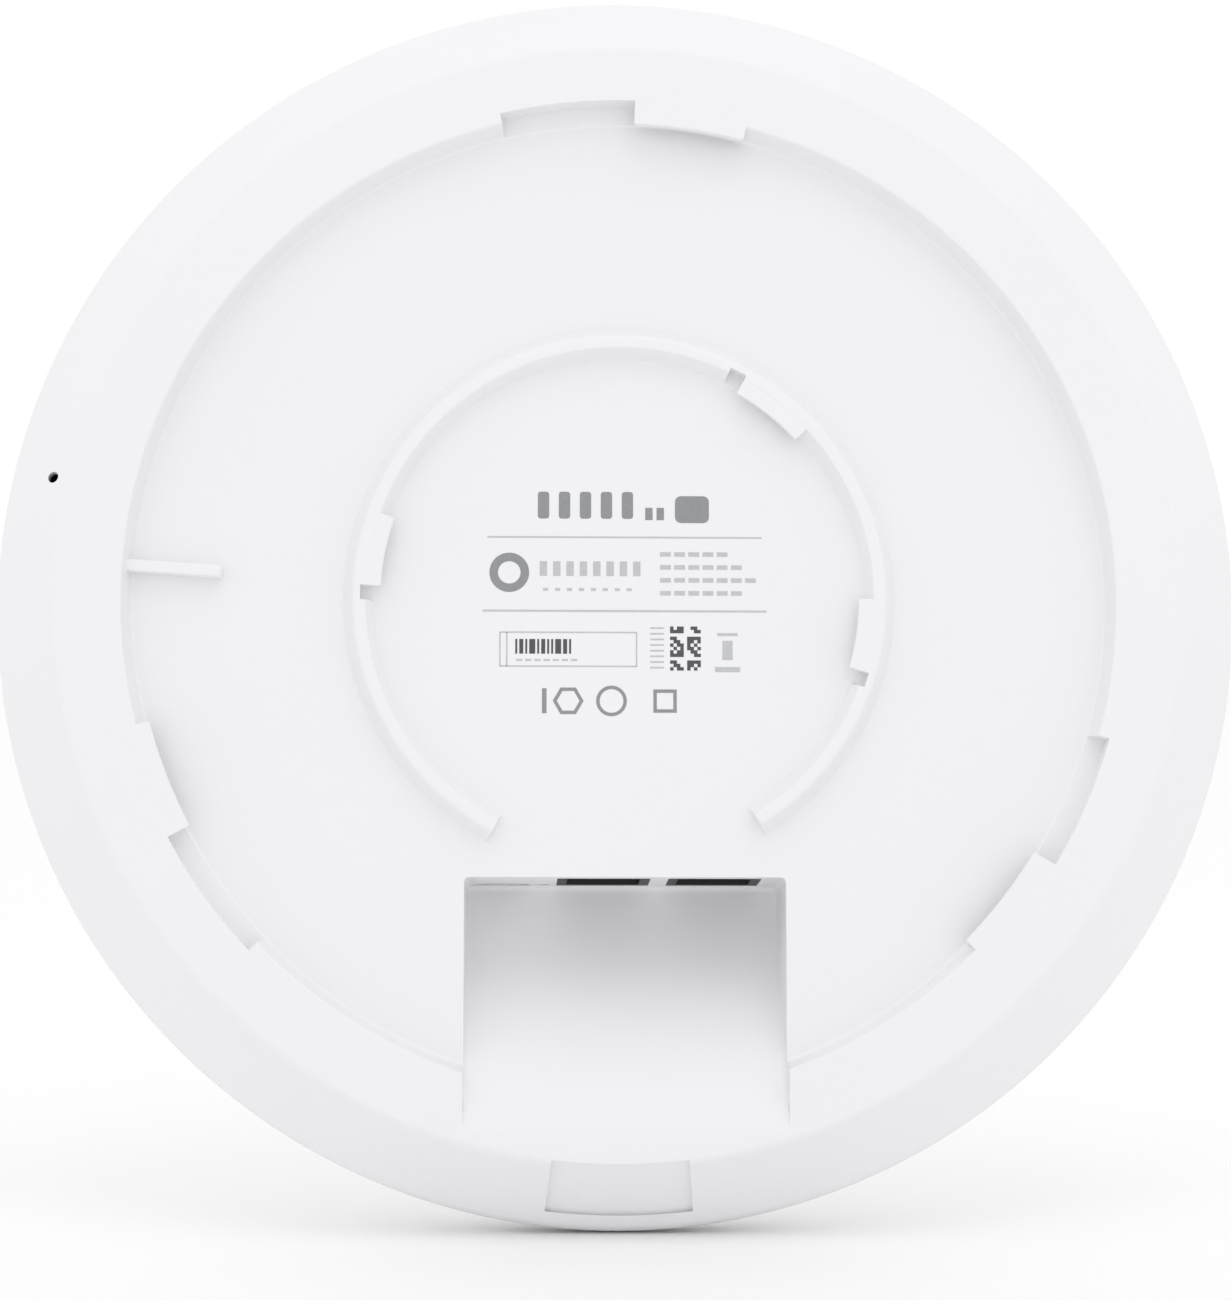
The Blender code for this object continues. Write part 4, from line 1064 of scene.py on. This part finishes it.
class ACCESSPOINT_OT_domed_front(Operator):
    """Builds the domed cover, the cap at its centre and the light ring between them"""

    bl_idname = "accesspoint.domed_front"
    bl_label = "Domed front"

    def execute(self, context):
        scene = context.scene
        shell = scene.shell_sizes
        white = moulded_polycarbonate(
            "smooth_white_polycarbonate", scene.finishes.cover, 0.38, 0.012,
        )
        ring_inner = CAP_HIGH.x + GAP
        hole = RING_HIGH.x
        wall = shell.cover_wall
        outer = dome_points(shell, shell.disc_radius, GROOVE_RADIUS, 0.0, 40)
        inner = dome_points(shell, shell.disc_radius - wall, GROOVE_RADIUS, wall, 24)
        cover = turned("front_cover_dome", outer + inner[::-1], shell.steps)
        round_edges(
            cover, 0.25 * MM,
            lambda edge: is_sharp(edge, 50.0)
            and edge.verts[0].co.xz.length < GROOVE_RADIUS + MM,
            2,
        )
        finished(cover, white, replaces=["front_cover"], smooth=25.0)
        outer = dome_points(shell, CAP_HIGH.x, 0.0, 0.0, 16)
        inner = dome_points(shell, CAP_HIGH.x, 0.0, wall, 10)
        section = [
            (0.0 if radius < 0.01 * MM else radius, depth) for radius, depth in outer + inner[::-1]
        ]
        cap = turned("centre_cap_disc", section, shell.steps)
        round_edges(
            cap, 0.25 * MM, lambda edge: is_sharp(edge, 50.0), 2,
        )
        finished(cap, white, replaces=["centre_cap"], smooth=25.0)
        flange_top = RING_LOW.y + FLANGE_THICKNESS
        outer_wall = GROOVE_RADIUS - GAP
        section = rounded([
            (ring_inner, RING_HIGH.y, 0.3 * MM), (ring_inner, flange_top, 0.0),
            (FLANGE_RADIUS, flange_top, 0.0), (FLANGE_RADIUS, RING_LOW.y, 0.0),
            (hole, RING_LOW.y, 0.0), (hole, flange_top, 0.0),
            (outer_wall, flange_top, 0.0), (outer_wall, RING_HIGH.y, 0.3 * MM),
        ], 3)
        ring = turned("light_ring_guide", section, shell.steps)
        guide = diffusing_light_guide(scene.finishes.light_guide)
        finished(ring, guide, replaces=["light_ring"])
        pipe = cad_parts["light_pipe"]
        pipe.data.materials.clear()
        pipe.data.materials.append(guide)
        return {"FINISHED"}


# ---------------------------------------------------------------- ports and insides


def jack_contact(jack):
    """One sprung contact of a network jack: in from the mouth, then bent back up the cavity."""
    low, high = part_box(jack + "_insert")
    wide = CONTACT_WIDTH
    middle = (low.x + high.x) / 2
    floor = low.y + 1.0 * MM
    front = low.z + 3.2 * MM
    contact = block(
        jack + "_contact", (middle - wide / 2, floor, front),
        (middle + wide / 2, floor + CONTACT_THICKNESS, front + MM),
    )
    for rise, run in CONTACT_BENDS:
        with editing(contact):
            end = max(point.co.z for point in contact.data.vertices)
            pick(contact, "FACE", lambda face: face.calc_center_median().z > end - 0.05 * MM)
            bpy.ops.mesh.extrude_region_move(
                TRANSFORM_OT_translate={"value": (0.0, rise * MM, run * MM)},
            )
    return contact


def jack_gasket(jack, bay, shell):
    """The black frame between a jack's face and the bay's drafted wall."""
    low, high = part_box(jack + "_shield")
    border = bay.port_clearance - GASKET_GAP
    back = low.z - GASKET_GAP
    rear = -shell.recess_depth - OVERCUT
    outline = []
    for depth in (low.y - border, high.y + border):
        flush = -bay.top - math.tan(bay.top_draft) * (depth - rear)
        outline.append((low.x - border, depth, flush + GASKET_GAP))
    outline += [(low.x - border, high.y + border, back), (low.x - border, low.y - border, back)]
    gasket = extruded(jack + "_gasket", outline, (high.x - low.x + 2 * border, 0.0, 0.0))
    inset = Vector((GASKET_BORDER, GASKET_BORDER, 0.0))
    mouth_low = Vector((low.x, low.y, back - OVERCUT)) + inset
    mouth_high = Vector((high.x, high.y, back + OVERCUT)) - inset
    carve(gasket, [block("mouth", mouth_low, mouth_high)], "DIFFERENCE")
    round_edges(gasket, 0.1 * MM, is_sharp, 2)
    return gasket


class ACCESSPOINT_OT_port_contacts(Operator):
    """Adds the gaskets and contacts of both network jacks and the contact pads of the USB port"""

    bl_idname = "accesspoint.port_contacts"
    bl_label = "Port contacts"

    def execute(self, context):
        gold = metal("gold_flashed_bronze", "E3B95B", 0.25, 0.4)
        rubber = moulded_black("moulded_black_rubber", "141415", 0.3)
        for jack in JACKS:
            gasket = jack_gasket(jack, context.scene.bay_sizes, context.scene.shell_sizes)
            finished(gasket, rubber)
            middle = (CONTACTS_PER_JACK - 1) / 2
            places = [
                ((step - middle) * CONTACT_PITCH, 0.0, 0.0) for step in range(CONTACTS_PER_JACK)
            ]
            contacts = joined(jack + "_contacts", copies(jack_contact(jack), places))
            finished(contacts, gold)
        low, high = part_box("usb_port_tongue")
        middle = (low + high) / 2
        pads = []
        for side in (-1, 1):
            for step in range(USB_PADS):
                across = middle.x + (step - (USB_PADS - 1) / 2) * USB_PAD_PITCH
                depth = middle.y + side * USB_PLATE
                pad = block(
                    "usb_pad",
                    (across - USB_PAD_HALF_WIDTH, depth - PAD_FILM, low.z + 0.5 * MM),
                    (across + USB_PAD_HALF_WIDTH, depth + PAD_FILM, low.z + 3.6 * MM),
                )
                round_edges(pad, 0.01 * MM, is_sharp, 1)
                pads.append(pad)
        finished(joined("usb_port_contacts", pads), gold)
        return {"FINISHED"}


def node_finishes():
    """The material of each CAD node that is shown as it is, by the start of its name."""
    tin = metal("bright_tinned_steel", "C9C8C2", 0.28, 0.6, (1.0, 1.0, 0.08))
    zinc = metal("zinc_plated_steel", "B7BBC0", 0.35, 1.2)
    cast = metal("as_cast_aluminium", "A9ABAE", 0.55, 1.5, relief=0.08)
    can = metal("drawn_aluminium", "B9BCC4", 0.3, 0.5, (1.0, 0.05, 1.0))
    black = moulded_black("moulded_black_polyamide", "1B1B1C", 0.4)
    epoxy = moulded_black("moulded_black_epoxy", "232325", 0.25)
    ferrite = speckled("sintered_ferrite", "2C2D30", "4A4B50", 0.5, 0.6)
    pad = speckled("filled_silicone", "7F8A94", "A9B3BC", 0.7, 0.75)
    lens = speckled("phosphor_in_epoxy", "F2E9B8", "FFF7D6", 0.9, 0.25)
    button = moulded_polycarbonate("moulded_acetal", linear("ECECEA"), 0.4, 0.01)
    return {
        "main_board": resist_coated_laminate(), "heat_spreader": cast, "board_screw": zinc,
        "radio_shield": tin, "antenna": tin, "usb_port_shell": tin, "usb_port_tongue": black,
        "lan_jack_main_shield": tin, "lan_jack_second_shield": tin,
        "lan_jack_main_insert": black, "lan_jack_second_insert": black,
        "power_capacitor": can, "power_transformer": ferrite, "power_inductor": ferrite,
        "processor_heat_pad": pad, "radio_heat_pad": pad, "processor_chip": epoxy,
        "radio_chip": epoxy, "memory_chip": epoxy, "flash_chip": epoxy,
        "line_transformer": black, "reset_switch": black, "reset_button": button,
        "status_led": lens,
    }


class ACCESSPOINT_OT_inner_finishes(Operator):
    """Gives every part that is shown as it was packed the finish of what it is made of"""

    bl_idname = "accesspoint.inner_finishes"
    bl_label = "Inner finishes"

    def execute(self, context):
        for start, material in node_finishes().items():
            nodes = [item for name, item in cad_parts.items() if name.startswith(start)]
            if not nodes:
                raise RuntimeError("no node starts with " + start)
            for item in nodes:
                item.data.materials.clear()
                item.data.materials.append(material)
        return {"FINISHED"}


# ---------------------------------------------------------------- stage


def add_softbox(name, place, width, power):
    """A round softbox that faces the middle of the disc."""
    bpy.ops.object.light_add(
        type="AREA", location=place, rotation=(-Vector(place)).to_track_quat("-Z", "Y").to_euler(),
    )
    softbox = bpy.context.object
    softbox.name = name
    softbox.data.shape = "DISK"
    softbox.data.size = width
    softbox.data.energy = power


class ACCESSPOINT_OT_stage(Operator):
    """Sets up the paper floor, the white surround, the overhead softbox and the camera"""

    bl_idname = "accesspoint.stage"
    bl_label = "Stage"

    def execute(self, context):
        scene = context.scene
        size = scene.stage_sizes
        floor = primitive(
            bpy.ops.mesh.primitive_plane_add, "paper_floor", size=size.floor_size,
            location=(0.0, size.floor_touch, DISC_LOW.z - FLOOR_DROP),
            rotation=(size.floor_tilt, 0.0, 0.0),
        )
        settle(floor)
        floor.data.materials.append(seamless_paper(scene.finishes.floor))

        world = bpy.data.worlds.new("white_surround")
        world.use_nodes = True
        surround = world.node_tree.nodes["Background"]
        surround.inputs["Color"].default_value = (1.0, 1.0, 1.0, 1.0)
        surround.inputs["Strength"].default_value = size.sky
        scene.world = world
        add_softbox("overhead_softbox", SOFTBOX_PLACE, SOFTBOX_WIDTH, size.key)

        place = Vector((size.aside, -size.distance, -size.below))
        aim = Vector((size.aim_x, 0.0, size.aim_z))
        bpy.ops.object.camera_add(
            location=place, rotation=(aim - place).to_track_quat("-Z", "Y").to_euler(),
        )
        camera = bpy.context.object
        camera.name = "camera"
        camera.data.sensor_width = 36.0
        camera.data.lens = size.lens
        camera.data.clip_start = 0.01
        camera.data.clip_end = 20.0
        scene.camera = camera
        scene.view_settings.view_transform = "Standard"
        return {"FINISHED"}


class ACCESSPOINT_PT_panel(Panel):
    """Lists the steps that build the access point"""

    bl_idname = "ACCESSPOINT_PT_panel"
    bl_label = "Access Point"
    bl_space_type = "VIEW_3D"
    bl_region_type = "UI"
    bl_category = "Access Point"

    def draw(self, context):
        for step in STEPS:
            self.layout.operator(step.bl_idname)
        for name in SIZE_GROUPS:
            box = self.layout.box()
            group = getattr(context.scene, name)
            box.label(text=name.replace("_", " ").capitalize())
            for key in group.__annotations__:
                box.prop(group, key)


SIZE_GROUPS = {
    "shell_sizes": ShellSizes, "bayonet_sizes": BayonetSizes, "ring_sizes": RingSizes,
    "bay_sizes": BaySizes, "detail_sizes": DetailSizes, "finishes": Finishes,
    "stage_sizes": StageSizes,
}
STEPS = (
    ACCESSPOINT_OT_rear_housing,
    ACCESSPOINT_OT_printing,
    ACCESSPOINT_OT_domed_front,
    ACCESSPOINT_OT_port_contacts,
    ACCESSPOINT_OT_inner_finishes,
    ACCESSPOINT_OT_stage,
)


def register():
    for kind in (*SIZE_GROUPS.values(), *STEPS, ACCESSPOINT_PT_panel):
        bpy.utils.register_class(kind)
    for name, kind in SIZE_GROUPS.items():
        setattr(bpy.types.Scene, name, PointerProperty(type=kind))


def unregister():
    for name in SIZE_GROUPS:
        delattr(bpy.types.Scene, name)
    for kind in (ACCESSPOINT_PT_panel, *STEPS, *SIZE_GROUPS.values()):
        bpy.utils.unregister_class(kind)


def main():
    """Builds every piece."""
    register()
    bpy.ops.accesspoint.rear_housing()
    bpy.ops.accesspoint.printing()
    bpy.ops.accesspoint.domed_front()
    bpy.ops.accesspoint.port_contacts()
    bpy.ops.accesspoint.inner_finishes()
    bpy.ops.accesspoint.stage()


if __name__ == "__main__":
    main()
